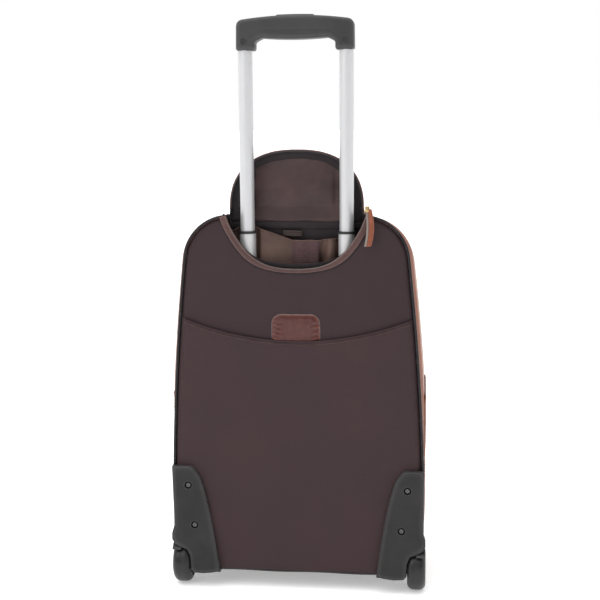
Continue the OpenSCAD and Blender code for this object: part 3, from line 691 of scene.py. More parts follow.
PAINTED_EDGE = leather("painted_edge", linear(98, 86, 82), linear(70, 58, 56), linear(140, 130, 124),
                       wear=0.6)
CUT_EDGE = woven("cut_edge", linear(150, 142, 136), linear(118, 108, 102), pitch=0.0004, sheen=0.0)

NODE_LOOKS = {
    ALUMINIUM: ["fixed_tube_left", "fixed_tube_right", "middle_tube_left", "middle_tube_right",
                "upper_tube_left", "upper_tube_right"],
    BLACK_PLASTIC: ["fixed_tube_collars", "middle_tube_collars", "upper_bracket", "lower_bracket"],
    NYLON_PLASTIC: ["middle_tube_guides", "upper_tube_plugs"],
    GRIP_PLASTIC: ["grip_rear_shell", "grip_front_shell", "grip_button"],
    SCREW: ["housing_screws"],
    GRIP_SCREW: ["grip_screws"],
    STEEL: ["release_rods", "button_springs", "lock_pin_left", "lock_pin_right", "bearings_left",
            "bearings_right", "axles", "axle_nuts", "frame_hoops"],
    HOUSING_PLASTIC: ["wheel_housing_left", "wheel_housing_right"],
    TYRE: ["tyre_left", "tyre_right"],
    HUB_PLASTIC: ["hub_left", "hub_right"],
    FOOT: ["front_feet"],
    BOARD: ["base_panel", "divider_board"],
    BRASS: ["flap_slider", "pocket_slider", "main_slider_left", "main_slider_right"],
    WEBBING: ["packing_straps", "lining_webbing"],
    DARK_TAPE: ["main_zip"],
    LINING: ["compartment_lining"],
    BINDING_LEATHER: ["scoop_binding", "blank_label"],
    TAB_LEATHER: ["pocket_tab"],
    NYLON: ["back_panel", "pocket_panel", "flap_panel"],
    COGNAC: ["side_wall", "side_overlay_left", "side_overlay_right", "lid_rim", "front_panel",
             "front_pocket", "handle_anchors", "carry_handle", "flap_pull"],
    PIPING: ["back_piping", "front_piping"],
}
for look, names in NODE_LOOKS.items():
    for node in names:
        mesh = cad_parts[node].data
        mesh.materials.clear()
        mesh.materials.append(look)


def soften(node, width, segments=3, angle=35):
    """Rounds a CAD node's edges with modifiers, leaving its mesh alone."""
    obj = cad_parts[node]
    weld = obj.modifiers.new("weld", "WELD")
    weld.merge_threshold = 0.00002
    flat = obj.modifiers.new("flat", "DECIMATE")
    flat.decimate_type = "DISSOLVE"
    flat.angle_limit = math.radians(1.0)
    bevel = obj.modifiers.new("bevel", "BEVEL")
    bevel.width = width * MM
    bevel.segments = segments
    bevel.limit_method = "ANGLE"
    bevel.angle_limit = math.radians(angle)
    bevel.use_clamp_overlap = True
    bevel.harden_normals = False
    normal = obj.modifiers.new("normal", "WEIGHTED_NORMAL")
    normal.keep_sharp = True


for node in ("wheel_housing_left", "wheel_housing_right"):
    soften(node, 1.2)
for node in ("front_feet", "upper_bracket", "lower_bracket", "handle_anchors"):
    soften(node, 0.8, 2)
for node in ("flap_slider", "pocket_slider", "main_slider_left", "main_slider_right"):
    soften(node, 0.5, 2)


def dress(piece, body, node=None):
    """Puts a piece on a body, and in the place of a CAD node if one is named."""
    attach(piece, body)
    if node:
        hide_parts(node)


def thicken(obj, thickness):
    """Gives a single skin its thickness, inwards."""
    solid = obj.modifiers.new("thickness", "SOLIDIFY")
    solid.thickness = thickness * MM
    solid.offset = -1


def subdivide(obj):
    smooth = obj.modifiers.new("smooth", "SUBSURF")
    smooth.levels = smooth.render_levels = 1


# ---------- back panel, slip pocket and tab ----------


def back_bulge(x, z):
    """How far the back cloth stands proud of the panel's plane, with its soft creases."""
    across = max(0.0, 1 - (x / 178) ** 2)
    up = smooth_step(28, 130, z) * (1 - 0.75 * smooth_step(400, 535, z))
    ripple = 0.55 * wobble(x * 0.020 + z * 0.006, z * 0.010 - x * 0.004, 3.1)
    ripple += 0.18 * wobble(x * 0.06, z * 0.035, 9.4)
    below_tab = bell(z, 300, 90)
    ripple += 0.35 * below_tab * math.sin((x + 0.35 * z) * 0.055) * bell(x, 0, 90)
    return 3.2 * across * up + ripple * (0.4 + 0.6 * across)


def roll_in(from_edge, reach, drop):
    """The last stretch of a panel turns in to its seam."""
    t = max(0.0, 1 - from_edge / reach)
    return drop * t * t


right_and_crown = [(x, z) for x, z in half_outline(0, 0, 0) if z < 531.5 or x > NECK_END]
back_edge = right_and_crown + neckline(0.0) + [(-x, z) for x, z in reversed(right_and_crown)]
outer_line = outline()


def back_depth(x, z, from_edge=50.0):
    return 0.6 - back_bulge(x, z) * min(1.0, from_edge / 30)


def outer_distance(x, z):
    return float(distances([(x, z)], outer_line, False)[0][0])


back_points, back_faces, _ = fill(back_edge, 4.5)
outer_gap, _ = distances(back_points, outer_line, False)


def back_face(x, z, outer):
    return 0.4 - back_bulge(x, z) * min(1.0, outer / 35) + roll_in(outer, 7, 2.8)


back_cloth = two_faced(
    "back_cloth", back_points, back_faces,
    [back_face(x, z, o) for (x, z), o in zip(back_points, outer_gap)], 2.6, NYLON,
)
dress(back_cloth, "case", "back_panel")

low_right = [(x, z) for x, z in half_outline(-1.5, 0, 0) if z < 392.5]
pocket_edge = low_right + list(reversed(pocket_mouth())) + [(-x, z) for x, z in reversed(low_right)]
pocket_points, pocket_faces, _ = fill(pocket_edge, 5.0)
pocket_outer, _ = distances(pocket_points, outer_line, False)
pocket_top, _ = distances(pocket_points, pocket_mouth(), False)


def pocket_face(x, z, outer, top):
    stand = 2.3 + 0.9 * bell(top, 2, 6) + 0.5 * bell(top, 0, 28)
    groove = 0.5 * bell(top, 7, 1.6)
    return back_face(x, z, outer) - stand * min(1.0, outer / 8) + groove - 0.3


slip_pocket = two_faced(
    "slip_pocket", pocket_points, pocket_faces,
    [pocket_face(x, z, o, t) for (x, z), o, t in zip(pocket_points, pocket_outer, pocket_top)], 1.4,
    NYLON_POCKET,
)
dress(slip_pocket, "case", "pocket_panel")


def pocket_at(x, z):
    top = float(distances([(x, z)], pocket_mouth(), False)[0][0])
    return pocket_face(x, z, outer_distance(x, z), top)


mouth_line = [(x, z - 4.6) for x, z in pocket_mouth(half_w=156)]
mouth_stitch = stitches("mouth_stitches", on_face(mouth_line, lambda x, z: pocket_at(x, z) - 0.05),
                        (0, -1, 0), THREAD)
dress(mouth_stitch, "case")
mouth_hem = tube(
    "mouth_hem", on_face([(x, z - 0.2) for x, z in pocket_mouth(half_w=159.5)],
                         lambda x, z: pocket_at(x, z) + 0.5),
    lambda s: 0.95 + 0.08 * wobble(s, 0, 0, 0.11), NYLON_POCKET, 10,
)
dress(mouth_hem, "case")

tab_outline = rounded([(33.3, 352, 1), (33.0, 399, 13), (-33.0, 399, 13), (-33.3, 352, 1)], 10)


def tab_depth(x, z, from_edge):
    """Domed leather with a sewn groove, and small folds fanning in from both ends."""
    swell = 2.2 * rise(from_edge, 2.2)
    crease = 0.25 * wobble(x * 0.055, z * 0.16, 5.0) + 0.2 * wobble(x * 0.2, z * 0.12, 1.7)
    left = smooth_step(-14, -30, x) * math.sin((z - 366) * 0.95 + x * 0.1)
    right = smooth_step(16, 31, x) * math.sin((z - 366) * 0.8 - x * 0.16)
    folds = (1.0 * left + 1.1 * right) * smooth_step(392, 384, z)
    groove = 0.55 * bell(from_edge, 3.4, 0.8)
    hollow = 1.7 * bell(z, 371, 9.0) * bell(x, 6, 22.0)
    tuck = 1.0 * smooth_step(372, 360, z)
    return back_depth(x, z) - 0.9 - swell - (crease + folds) * min(1, from_edge / 4) + hollow + groove + tuck


grab_tab = sheet_piece("grab_tab", tab_outline, 1.6, tab_depth, 1.0, TAB_LEATHER)
dress(grab_tab, "case", "pocket_tab")


def up_and_over(points):
    """Sorts an open seam's points, up its right side and down its left."""
    right = sorted([p for p in points if p[0] >= 0], key=lambda p: (p[1], -p[0]))
    return right + sorted([p for p in points if p[0] < 0], key=lambda p: (-p[1], -p[0]))


tab_seam = up_and_over([(x, z) for x, z in inset(tab_outline, 3.4) if z > 364])
tab_stitch = stitches(
    "tab_stitches", on_face(tab_seam, lambda x, z: tab_depth(x, z, 3.4) + 0.05), (0, -1, 0), DARK_THREAD,
    2.6, 0.9, 0.26
)
dress(tab_stitch, "case")
tab_rim = up_and_over([(x, z) for x, z in resample(tab_outline, 1.2, closed=True) if z > 360])
tab_edge = tube("tab_edge", on_face(tab_rim, lambda x, z: tab_depth(x, z, 0.0) + 0.35), 0.62, PAINTED_EDGE, 8)
dress(tab_edge, "case")

# ---------- neckline binding and piping ----------

binding_path = [(x, 0.0, z) for x, z in resample(neckline(0.0, 534.0, 120), 1.6)]


def binding_profile():
    """Leather folded over the panel's edge; across is away from the opening."""
    half = [(4.9, -0.6), (4.5, -1.5), (3.2, -1.9), (1.6, -2.0), (0.2, -2.0), (-1.0, -1.5), (-1.8, -0.2)]
    return half + [(-1.9, 1.6), (-1.8, 3.4), (-1.0, 4.8), (1.0, 5.2), (4.6, 5.0), (5.0, 4.0), (3.0, 3.6),
                   (0.4, 2.0), (3.0, 0.2)]


def binding_change(i, k, across, out):
    x, _, z = binding_path[i]
    fold = 0.28 * wobble(i * 0.13, k * 0.5, 2.0) + 0.16 * wobble(i * 0.42, k * 0.8, 7.0)
    wide = 0.86 + 0.52 * smooth_step(25, 70, abs(x))
    return across * wide + 0.5 * fold, out + fold + back_face(x, z, 30) * 0.7 - 0.2


binding = ribbon("neck_binding", binding_path, binding_profile(), BINDING_LEATHER, change=binding_change)
dress(binding, "case", "scoop_binding")

# A dark cord under the binding's lower edge: the seam, with the shadow along it painted dark.
seam_and_shadow_line = [
    (x * (1 + 0.024 * smooth_step(30, 70, abs(x))), back_face(x, z, 30) - 0.3,
     z - 1.7 * smooth_step(30, 60, abs(x)) * smooth_step(105, 80, abs(x)))
    for x, z in resample(neckline(4.9, 531.0, 100), 2.2)
]
seam_and_shadow_cord = tube("neck_seam_and_shadow", seam_and_shadow_line, lambda s: 1.0 + 0.12 * wobble(s * 0.3, 1.0), DARK_TAPE, 8)
dress(seam_and_shadow_cord, "case")
edge_line = [(x, back_face(x, z, 30) * 0.7 - 1.5, z) for x, z in resample(neckline(-1.4, 533.0, 100), 1.8)]
painted_edge = tube("binding_edge", edge_line, lambda s: 0.62 + 0.08 * wobble(s * 0.4, 3.0), PAINTED_EDGE, 8)
dress(painted_edge, "case")
# A dark strip hanging inside the neckline behind the binding: painted shadow in the gap between the lining and
# the binding.
facing_shadow_path = [(x, 7.0, z) for x, z in resample(neckline(0.0, 500.0, 80), 2.4)]


def facing_shadow_change(i, k, across, out):
    x = facing_shadow_path[i][0]
    return across * (1 - 0.75 * smooth_step(20, 78, abs(x))), out + 0.4 * wobble(i * 0.12, k * 0.4, 6.0)


facing_shadow = ribbon("neck_facing_shadow", facing_shadow_path,
                [(3.0, -0.5), (-2.0, -0.6), (-6.6, -0.5), (-7.4, 0.0), (-6.6, 0.5), (3.0, 0.5)],
                DARK_TAPE, change=facing_shadow_change)
dress(facing_shadow, "case")

HOUSING_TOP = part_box("wheel_housing_right")[1].z / MM


def crinkle(s):
    return 2.05 + 0.10 * wobble(s * 0.35, 0.3, 0.0) + 0.10 * wobble(s * 0.9, 4.0, 0.0)


piping_pieces = []
for side, word in SIDES:
    line = [(side * x, 1.2, z) for x, z in half_outline(1.5, 1.5, 0) if z > HOUSING_TOP + 1
            and x > NECK_END + 1]
    line = [(line[0][0], 1.2, HOUSING_TOP - 4)] + line
    line += [(side * (NECK_END + 0.6), 1.6, 532.4), (side * (NECK_END - 1.4), 3.4, 529.6)]
    piping_pieces.append(tube("back_piping_" + word, resample(line, 2.0), crinkle, PIPING))
foot_line = [(-114 + i * 228 / 60, 1.4, BASE_Z - 1.6 + 0.5 * math.sin(i * 0.21)) for i in range(61)]
piping_pieces.append(tube("back_piping_foot", foot_line, lambda s: 2.1, FOOT))
for piece in piping_pieces:
    dress(piece, "case")
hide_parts("back_piping")

for side, word in SIDES:
    seam = [(side * x, z) for x, z in half_outline(-6.0, -6.0, 0) if z > HOUSING_TOP + 3 and x > 108]
    seam = resample(seam, 1.0)
    lifted = [
        (x, pocket_at(x, z) if z < mouth_z(x) else back_face(x, z, outer_distance(x, z)), z)
        for x, z in seam[::4]
    ]
    run = stitches("edge_stitches_" + word, lifted, (0, -1, 0), DARK_THREAD, 3.2, 1.4, 0.24)
    dress(run, "case")

# ---------- leather walls ----------


def wall_ring(d):
    """The wall's outline at a depth, softly puffed between its seams."""
    turn = smooth_step(0, 15, d)
    swell = 1.6 * math.sin(math.pi * min(max((d - 8) / (DEPTH - 12), 0), 1)) if d > 8 else 0.0
    line = outline(0.4 + 7.1 * turn, -1.2 + 4.2 * turn, TOP_FALL * d / DEPTH, SIDE_CLIP)
    ring = resample(line, 5.2)
    moved = []
    for i, (x, z) in enumerate(ring):
        ax, az = ring[max(i - 1, 0)]
        bx, bz = ring[min(i + 1, len(ring) - 1)]
        size = math.hypot(bx - ax, bz - az) or 1.0
        out = swell * 0.35 + 0.5 * wobble(d * 0.03, i * 0.035, 1.0) + 0.25 * wobble(d * 0.09, i * 0.10, 5.0)
        out *= smooth_step(2, 22, d) * smooth_step(DEPTH, DEPTH - 16, d)
        moved.append((x + (bz - az) / size * out, d, z - (bx - ax) / size * out))
    return moved


def even_rings(rings):
    """Rings resampled to the same number of points."""
    count = len(rings[0])
    out = []
    for ring in rings:
        pts = np.array(ring)
        along = np.concatenate([[0], np.cumsum(np.linalg.norm(np.diff(pts, axis=0), axis=1))])
        at = np.linspace(0, along[-1], count)
        out.append([tuple(float(np.interp(t, along, pts[:, k])) for k in range(3)) for t in at])
    return out


wall_depths = [2.6, 3.6, 5.5, 8, 11, 14, 18]
wall_depths += [18 + i * (DEPTH - 22) / 26 for i in range(1, 27)] + [DEPTH - 2, DEPTH]
wall_rings = even_rings([wall_ring(d) for d in wall_depths])
wall = loft("leather_wall", wall_rings, COGNAC, close_ring=False, caps=False)


def cut_away(obj, planes, gone):
    """Cuts a mesh along planes, then drops the faces whose centre passes gone(x, d, z)."""
    bm = bmesh.new()
    bm.from_mesh(obj.data)
    for point, normal in planes:
        bmesh.ops.bisect_plane(
            bm, geom=bm.verts[:] + bm.edges[:] + bm.faces[:], plane_co=place(*point), plane_no=normal,
            dist=1e-6
        )
    drop = []
    for f in bm.faces:
        c = f.calc_center_median()
        if gone(c.x / MM, (c.y - BACK_Y) / MM, c.z / MM):
            drop.append(f)
    bmesh.ops.delete(bm, geom=drop, context="FACES")
    bm.to_mesh(obj.data)
    bm.free()


MOUTH_D = COMPARTMENT_D + 3.5
MOUTH_FLOOR_Z = 480
# The wheel arches are cut from the wall's lower corners, outwards of this x, up to this depth and height.
ARCH_X, ARCH_D, ARCH_Z = 148, 58, 72


def both_sides(x):
    """Cutting planes on the left and on the right of the middle."""
    return [((x, 0, 0), (1, 0, 0)), ((-x, 0, 0), (1, 0, 0))]


arch_planes = both_sides(ARCH_X) + [((0, ARCH_D, 0), (0, 1, 0)), ((0, 0, ARCH_Z), (0, 0, 1))]
mouth_planes = both_sides(MOUTH_HALF_W) + [((0, MOUTH_D, 0), (0, 1, 0))]
cut_away(
    wall, arch_planes + mouth_planes,
    lambda x, d, z: (abs(x) > ARCH_X and d < ARCH_D and z < ARCH_Z)
    or (abs(x) < MOUTH_HALF_W and d < MOUTH_D and z > MOUTH_FLOOR_Z),
)
thicken(wall, 2.6)
dress(wall, "case", "side_wall")

# ---------- lining of the handle compartment ----------


def liner_top(x):
    """Top edge of the slumped lining bag."""
    slide = min(max((x + 64) / 57, 0), 1) ** 1.25
    return (
        516 - 18.8 * slide - 4.5 * smooth_step(-78, -90, x) + 2.5 * smooth_step(30, 46, x)
        - 3 * smooth_step(64, 84, x) + 0.8 * wobble(x * 0.09, 2.0)
    )


def liner_depth(x, z, from_edge):
    """Folds of the lining: a full bulge on the left, a flat strip behind the webbing, and two pleats."""
    left = 7.5 * bell(x, -42, 26) * (0.55 + 0.45 * smooth_step(516, 480, z))
    pleat = 4.6 * bell(x, 34.5 + (z - 480) * 0.14, 3.6) - 8.0 * bell(x, 46 + (z - 480) * 0.05, 8)
    second = 4.4 * bell(x, 60 - (z - 480) * 0.12, 4.0) - 6.0 * bell(x, 72, 7)
    sag = 2.2 * math.sin((z - 455) * 0.11 + x * 0.035) + 1.4 * wobble(x * 0.045, z * 0.06, 2.0)
    lip = -1.6 * bell(from_edge, 0, 3.0)
    loose = min(31.5 - left + pleat + second + sag * 0.6 + lip, 35.8)
    behind_tube = smooth_step(17, 12, abs(abs(x) - TUBE_X))
    return loose + (max(loose, 35.3) - loose) * behind_tube


liner_edge = [(98, 440)] + [(x, liner_top(x)) for x in np.linspace(98, -98, 60)] + [(-98, 440)]
liner_edge = [(float(x), float(z)) for x, z in liner_edge]
liner = sheet_piece("bag_lining", liner_edge, 2.6, liner_depth, 0.8, LINING)
dress(liner, "case", "compartment_lining")
liner_hem = tube(
    "bag_lining_hem", [(x, liner_depth(x, liner_top(x), 0.0) + 0.4, liner_top(x))
                       for x in np.linspace(-97, 97, 110)],
    lambda s: 1.0 + 0.2 * wobble(s, 0, 0, 0.2), LINING, 8,
)
dress(liner_hem, "case")

strip_path = [(12 + 0.5 * math.sin(z * 0.09),
               29.6 + 1.0 * math.sin((z - 440) * 0.10) - 1.6 * smooth_step(480, 462, z), z)
              for z in np.linspace(497.5, 444, 40)]
strip_profile = [(-18, 0.0), (-17.4, 0.7)] + [(a, 0.8 + 0.12 * math.cos(a * 1.3))
                                              for a in np.linspace(-16, 16, 27)]
strip_profile += [(17.4, 0.7), (18, 0.0), (17.4, -0.7), (-17.4, -0.7)]
strip = ribbon("webbing_strip", strip_path, strip_profile, WEBBING, up=(0, -1, 0))
dress(strip, "case", "lining_webbing")
strip_stitches = []
for k, x in enumerate((-3.5, 8.5, 11.5, 14.5, 27.0)):
    row = [(x, d - 1.0, z) for _, d, z in strip_path]
    sewn = stitches("webbing_stitches_" + str(k), row, (0, -1, 0), DARK_THREAD, 2.4, 1.0, 0.26)
    dress(sewn, "case")
    strip_stitches.append(sewn)

label_outline = rounded([(6, 501.5, 1), (6.4, 510.5, 1), (-21.6, 511.2, 1), (-22, 502, 1)], 4)
label = sheet_piece(
    "sewn_label", label_outline, 1.2,
    lambda x, z, e: 33.2 - 0.9 * rise(e, 0.9) - 0.5 * wobble(x * 0.2, z * 0.3, 4.0), 0.8, LABEL_LEATHER,
)
dress(label, "case", "blank_label")
for piece in [liner, liner_hem, strip, label] + strip_stitches:
    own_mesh(piece)

far_edge = [(104, 430), (104, 533), (-104, 533), (-104, 430)]
far_wall = sheet_piece(
    "far_wall", far_edge, 7.0, lambda x, z, e: 38.7 + 0.4 * wobble(x * 0.03, z * 0.05, 8.0), 1.0, DARK_TAPE
)
dress(far_wall, "case")

inner_rings = even_rings([
    [(x, d, z) for x, z in resample(outline(-3.4, -3.8, TOP_FALL * d / DEPTH, SIDE_CLIP - 4), 6.0) if z > 74]
    for d in (5.5, 12, 20, 28, 36, 39.5)
])
inner_skin = loft("compartment_skin", inner_rings, DARK_TAPE, close_ring=False, caps=False)
cut_away(inner_skin, both_sides(MOUTH_HALF_W), lambda x, d, z: abs(x) < MOUTH_HALF_W and z > MOUTH_FLOOR_Z)
dress(inner_skin, "case")

# ---------- flap ----------

FOLD_D, FOLD_Z, LEAN = 44.5, CROWN_Z - 2.5, math.radians(5)
FLAP_HALF_W, FLAP_H = 92.6, 83.6
COIL_PITCH = 3.2


def in_flap(v):
    """From the flap's own plane, with its fold at zero, to the case."""
    x, d, z = v
    return (x, FOLD_D + d * math.cos(LEAN) + z * math.sin(LEAN),
            FOLD_Z + z * math.cos(LEAN) - d * math.sin(LEAN))


def dome(by=0.0, low=1.0, steps=60):
    """The flap's outline, moved in by a margin."""
    a, b = FLAP_HALF_W + 0.5 - by, FLAP_H - by
    points = []
    for i in range(steps + 1):
        t = math.pi * i / steps
        c, s = math.cos(t), math.sin(t)
        points.append((a * math.copysign(abs(c) ** 0.84, c) - 2.5, max(b * s**0.80, low)))
    return points


flap_points, flap_faces, _ = fill(dome(), 3.2)
flap_rim, _ = distances(flap_points, dome(), False)


def flap_shell(e, x, z):
    """Crowned leather with a rolled rim, drawn in by its fold so that it clears the case when it lies back."""
    swell = 2.6 * rise(e, 22) - 6.6 * bell(e, 0, 4.5)
    return swell + 0.35 * wobble(x * 0.03, z * 0.03, 6.0) - 3.6 * smooth_step(12, 1, z)


flap_depths = [flap_shell(e, x, z) for (x, z), e in zip(flap_points, flap_rim)]
flap_leather = two_faced("flap_leather", flap_points, flap_faces, flap_depths, 1.5, COGNAC, in_flap)
dress(flap_leather, "flap", "flap_panel")

flap_edge = tube(
    "flap_edge", [in_flap((x, -5.6, z)) for x, z in resample(dome(0.6), 2.0)],
    lambda s: 1.5 + 0.12 * wobble(s, 0, 0, 0.2), TAB_LEATHER, 10,
)
dress(flap_edge, "flap")


def band(name, outer, inner, d_outer, d_inner, thickness, material, ripple=0.25):
    """Tape between two insets of the flap's outline."""
    a, b = resample(dome(outer), 2.4), resample(dome(inner), 2.4)
    count = len(a)
    along = np.linspace(0, len(b) - 1, count)
    b = [tuple(np.array(b)[int(round(t))]) for t in along]
    rings = []
    for i in range(count):
        ring = []
        wave = ripple * wobble(i * 0.12, outer, 3.0)
        for t in (0, 0.25, 0.5, 0.75, 1.0):
            x, z = a[i][0] + (b[i][0] - a[i][0]) * t, a[i][1] + (b[i][1] - a[i][1]) * t
            ring.append((x, d_outer + (d_inner - d_outer) * t + wave, z))
        ring += [(x, d + thickness, z) for x, d, z in reversed(ring)]
        rings.append([in_flap(p) for p in ring])
    return loft(name, rings, material)


flap_tape = band("flap_tape", 1.4, 13.5, -7.6, -4.4, 0.8, DARK_TAPE)
dress(flap_tape, "flap")
flap_teeth = tube("flap_zip_coil", [in_flap((x, -8.0, z)) for x, z in resample(dome(2.0), 1.6)],
                  lambda s: 1.15 + 0.28 * math.cos(s * 2 * math.pi / COIL_PITCH), BLACK_PLASTIC, 8)
dress(flap_teeth, "flap")

lining_edge = [(x, z) for x, z in dome(9.5) if -66 < x < 63]
lining_edge = [(x, z + 1.2 * wobble(x * 0.07, 1.0) - 1.0) for x, z in lining_edge]
lining_edge = [(63, 1.0)] + lining_edge + [(-66, 1.0)]


def flap_lining_depth(x, z, e):
    full = 3.6 * rise(e, 9.0) + 1.6 * bell(z, 22, 16) * bell(x, 0, 60)
    folds = 0.9 * wobble(x * 0.030 + z * 0.012, z * 0.045, 1.0)
    folds += 0.6 * wobble(x * 0.06, z * 0.11 - x * 0.03, 7.0)
    tuck = 1.3 * bell(z, 11 + 0.05 * x, 2.6) * smooth_step(-10, 40, x)
    tuck += 1.2 * bell(x, 52, 3.0) * smooth_step(70, 40, z)
    return -4.2 - full - folds + tuck


flap_lining = sheet_piece("flap_lining", lining_edge, 2.2, flap_lining_depth, 1.0, FLAP_SATIN, lean=in_flap)
dress(flap_lining, "flap")

for side, word in SIDES:
    edge = [(x, z) for x, z in dome(8.0) if side * x > 57]
    gusset_edge = anticlockwise(edge + [(side * 57, 1.0)])
    gusset = sheet_piece(
        "flap_gusset_" + word, gusset_edge, 2.6,
        lambda x, z, e: -6.2 - 1.6 * rise(e, 5.0) - 0.6 * wobble(x * 0.08, z * 0.05, 3.0), 0.9, DARK_TAPE,
        lean=in_flap,
    )
    dress(gusset, "flap")


def across(name, x0, x1, profile, thickness, material, count=70):
    """A strip across the case: profile(x) is a line of (d, z), thickened towards the lid."""
    rings = []
    for x in np.linspace(x0, x1, count):
        ring = profile(float(x))
        rings.append([(float(x), d, z) for d, z in ring]
                     + [(float(x), d + thickness, z) for d, z in reversed(ring)])
    obj = loft(name, rings, material)
    subdivide(obj)
    return obj


def hinge_inside(x):
    sway = 0.8 * wobble(x * 0.035, 5.0)
    return [(38.2, 522.6 + sway), (36.9, 524.6 + sway), (36.7, 526.6 + sway), (36.9, 529.6), (37.3, 533),
            (37.8, 538), (38.6, 543), (39.6, 547)]


def hinge_shadow(x):
    sway = 0.9 * wobble(x * 0.03, 2.0)
    return [(43.0, 507), (38.2, 511.5 + sway), (36.9, 515 + sway), (36.8, 519.5 + sway),
            (37.8, 523.0 + sway), (41.0, 525.0)]


def hinge_outside(x):
    top = top_surface(x, 50)
    return [(54.0, top + 0.2), (50.0, top + 1.2), (47.4, top + 3.4), (46.2, max(536.0, top + 6)),
            (45.4, 541.0), (46.0, 546.0)]


shadow_fold = across("fold_band", -98, 98, hinge_shadow, 1.4, DARK_TAPE)
dress(shadow_fold, "case")
for name, x0, x1, profile, thickness, look, slot in (
    ("fold_lining", -63, 61, hinge_inside, 1.0, FLAP_SATIN, "satin_lining"),
    ("fold_tape_right", 60.5, 91, hinge_inside, 1.0, DARK_TAPE, "zip_black"),
    ("fold_tape_left", -96, -62.5, hinge_inside, 1.0, DARK_TAPE, "zip_black"),
    ("fold_leather", -95.5, 91.5, hinge_outside, 1.3, COGNAC, "cognac_leather"),
):
    piece = across(name, x0, x1, profile, thickness, look, 70 if x1 - x0 > 100 else 24)
    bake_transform(piece)
for side, word in SIDES:
    rings = []
    reach = 91.0 - 2.2 * side
    for t in np.linspace(0, 1, 14):
        d = 33 + 13.5 * t
        line = [(reach + 1.8 * math.sin(math.pi * u), d - 2.5 * u * (1 - t), 514 + (542 - 514) * u)
                for u in np.linspace(0, 1, 12)]
        rings.append([(side * x - 1.0 * (z - 514) / 33, dd, z) for x, dd, z in line]
                     + [(side * (x - 1.0) - 1.0 * (z - 514) / 33, dd, z) for x, dd, z in reversed(line)])
    gusset = loft("fold_gusset_" + word, rings, DARK_TAPE)
    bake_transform(gusset)

for side, word in SIDES:
    rings = []
    for d in np.linspace(2.5, 43.5, 20):
        top = top_surface(100, d)
        sway = 0.35 * wobble(d * 0.2, side * 3.0)
        line = [(101.4, top + 0.1), (100.6, top + 0.9), (99.2, top + 1.0), (98.4 + sway, top - 0.8),
                (98.2 + sway, top - 9), (99.0 + sway, top - 9), (99.4, top - 1.2), (100.6, top - 0.6)]
        rings.append([(side * x, d, z) for x, z in line])
    tape = loft("mouth_tape_" + word, rings, DARK_TAPE)
    dress(tape, "case")
    coil = tube("mouth_coil_" + word, [(r[2][0], r[2][1], r[2][2] + 0.5) for r in rings[1:]],
                lambda s: 0.95 + 0.25 * math.cos(s * 2 * math.pi / COIL_PITCH), BLACK_PLASTIC, 8)
    dress(coil, "case")
tail_line = [(14, 533.2), (9, 536.2), (4, 538.4), (0, 539.6), (-3, 540.4), (-5.2, 541.4), (-6.2, 543.2),
             (-6.3, 546.8)]
tail_line = resample(tail_line, 0.8)
tail_rings = []
for i, (d, z) in enumerate(tail_line):
    ax, az = tail_line[max(i - 1, 0)]
    bx, bz = tail_line[min(i + 1, len(tail_line) - 1)]
    size = math.hypot(bx - ax, bz - az)
    nd, nz = 0.45 * (bz - az) / size, -0.45 * (bx - ax) / size
    half = 4.0 - 1.4 * i / (len(tail_line) - 1)
    tail_rings.append([(98 + a, d + k * nd, z + k * nz)
                       for a, k in ((-half, -1), (0, -1.2), (half, -1), (half, 1), (0, 1.2), (-half, 1))])
zip_tail = loft("zip_tail", tail_rings, DARK_TAPE)
dress(zip_tail, "case")

# ---------- flap slider and pull ----------

SLIDER_X, SLIDER_D = 98.0, -6.0
body_line = rounded([(SLIDER_X + 2.4, 539.0, 1.4), (SLIDER_X + 3.2, 547.6, 1.8),
                     (SLIDER_X - 3.2, 547.6, 1.8), (SLIDER_X - 2.4, 539.0, 1.4)], 5)
slider_top = pillow("slider_plate_front", body_line, SLIDER_D - 2.5, SLIDER_D - 0.9, 0.7, 0.3, BRASS, 4)
slider_low = pillow("slider_plate_back", body_line, SLIDER_D + 0.3, SLIDER_D + 2.3, 0.3, 0.7, BRASS, 4)
bridge = pillow("slider_bridge",
                rounded([(SLIDER_X + 1.3, 540, 0.5), (SLIDER_X + 1.3, 547, 0.5), (SLIDER_X - 1.3, 547, 0.5),
                         (SLIDER_X - 1.3, 540, 0.5)], 3),
                SLIDER_D - 1.2, SLIDER_D + 0.6, 0.1, 0.1, BRASS, 2)
bail = tube("slider_bail", [(SLIDER_X, SLIDER_D - 2.2 - 2.6 * math.sin(t), 544.0 + 2.6 * math.cos(t))
                            for t in np.linspace(0, math.pi, 16)],
            0.75, BRASS, 10, up=(1, 0, 0))
stud = pillow("slider_stud", [(SLIDER_X + 2.5 * math.cos(t), 542.5 + 2.5 * math.sin(t))
                              for t in np.linspace(0, 2 * math.pi, 24, endpoint=False)],
              SLIDER_D - 8.4, SLIDER_D - 7.2, 0.9, 0.1, BRASS, 4)
for piece in (slider_top, slider_low, bridge, bail, stud):
    dress(piece, "flap_zip")
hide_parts("flap_slider")


def pull_x(t):
    """The pull hangs a little aslant and bows outwards."""
    return SLIDER_X + 2.0 + 3.2 * math.sin(2.7 * t) - 2.2 * t**2


def pull_z(t):
    return 544.6 - 50.5 * t


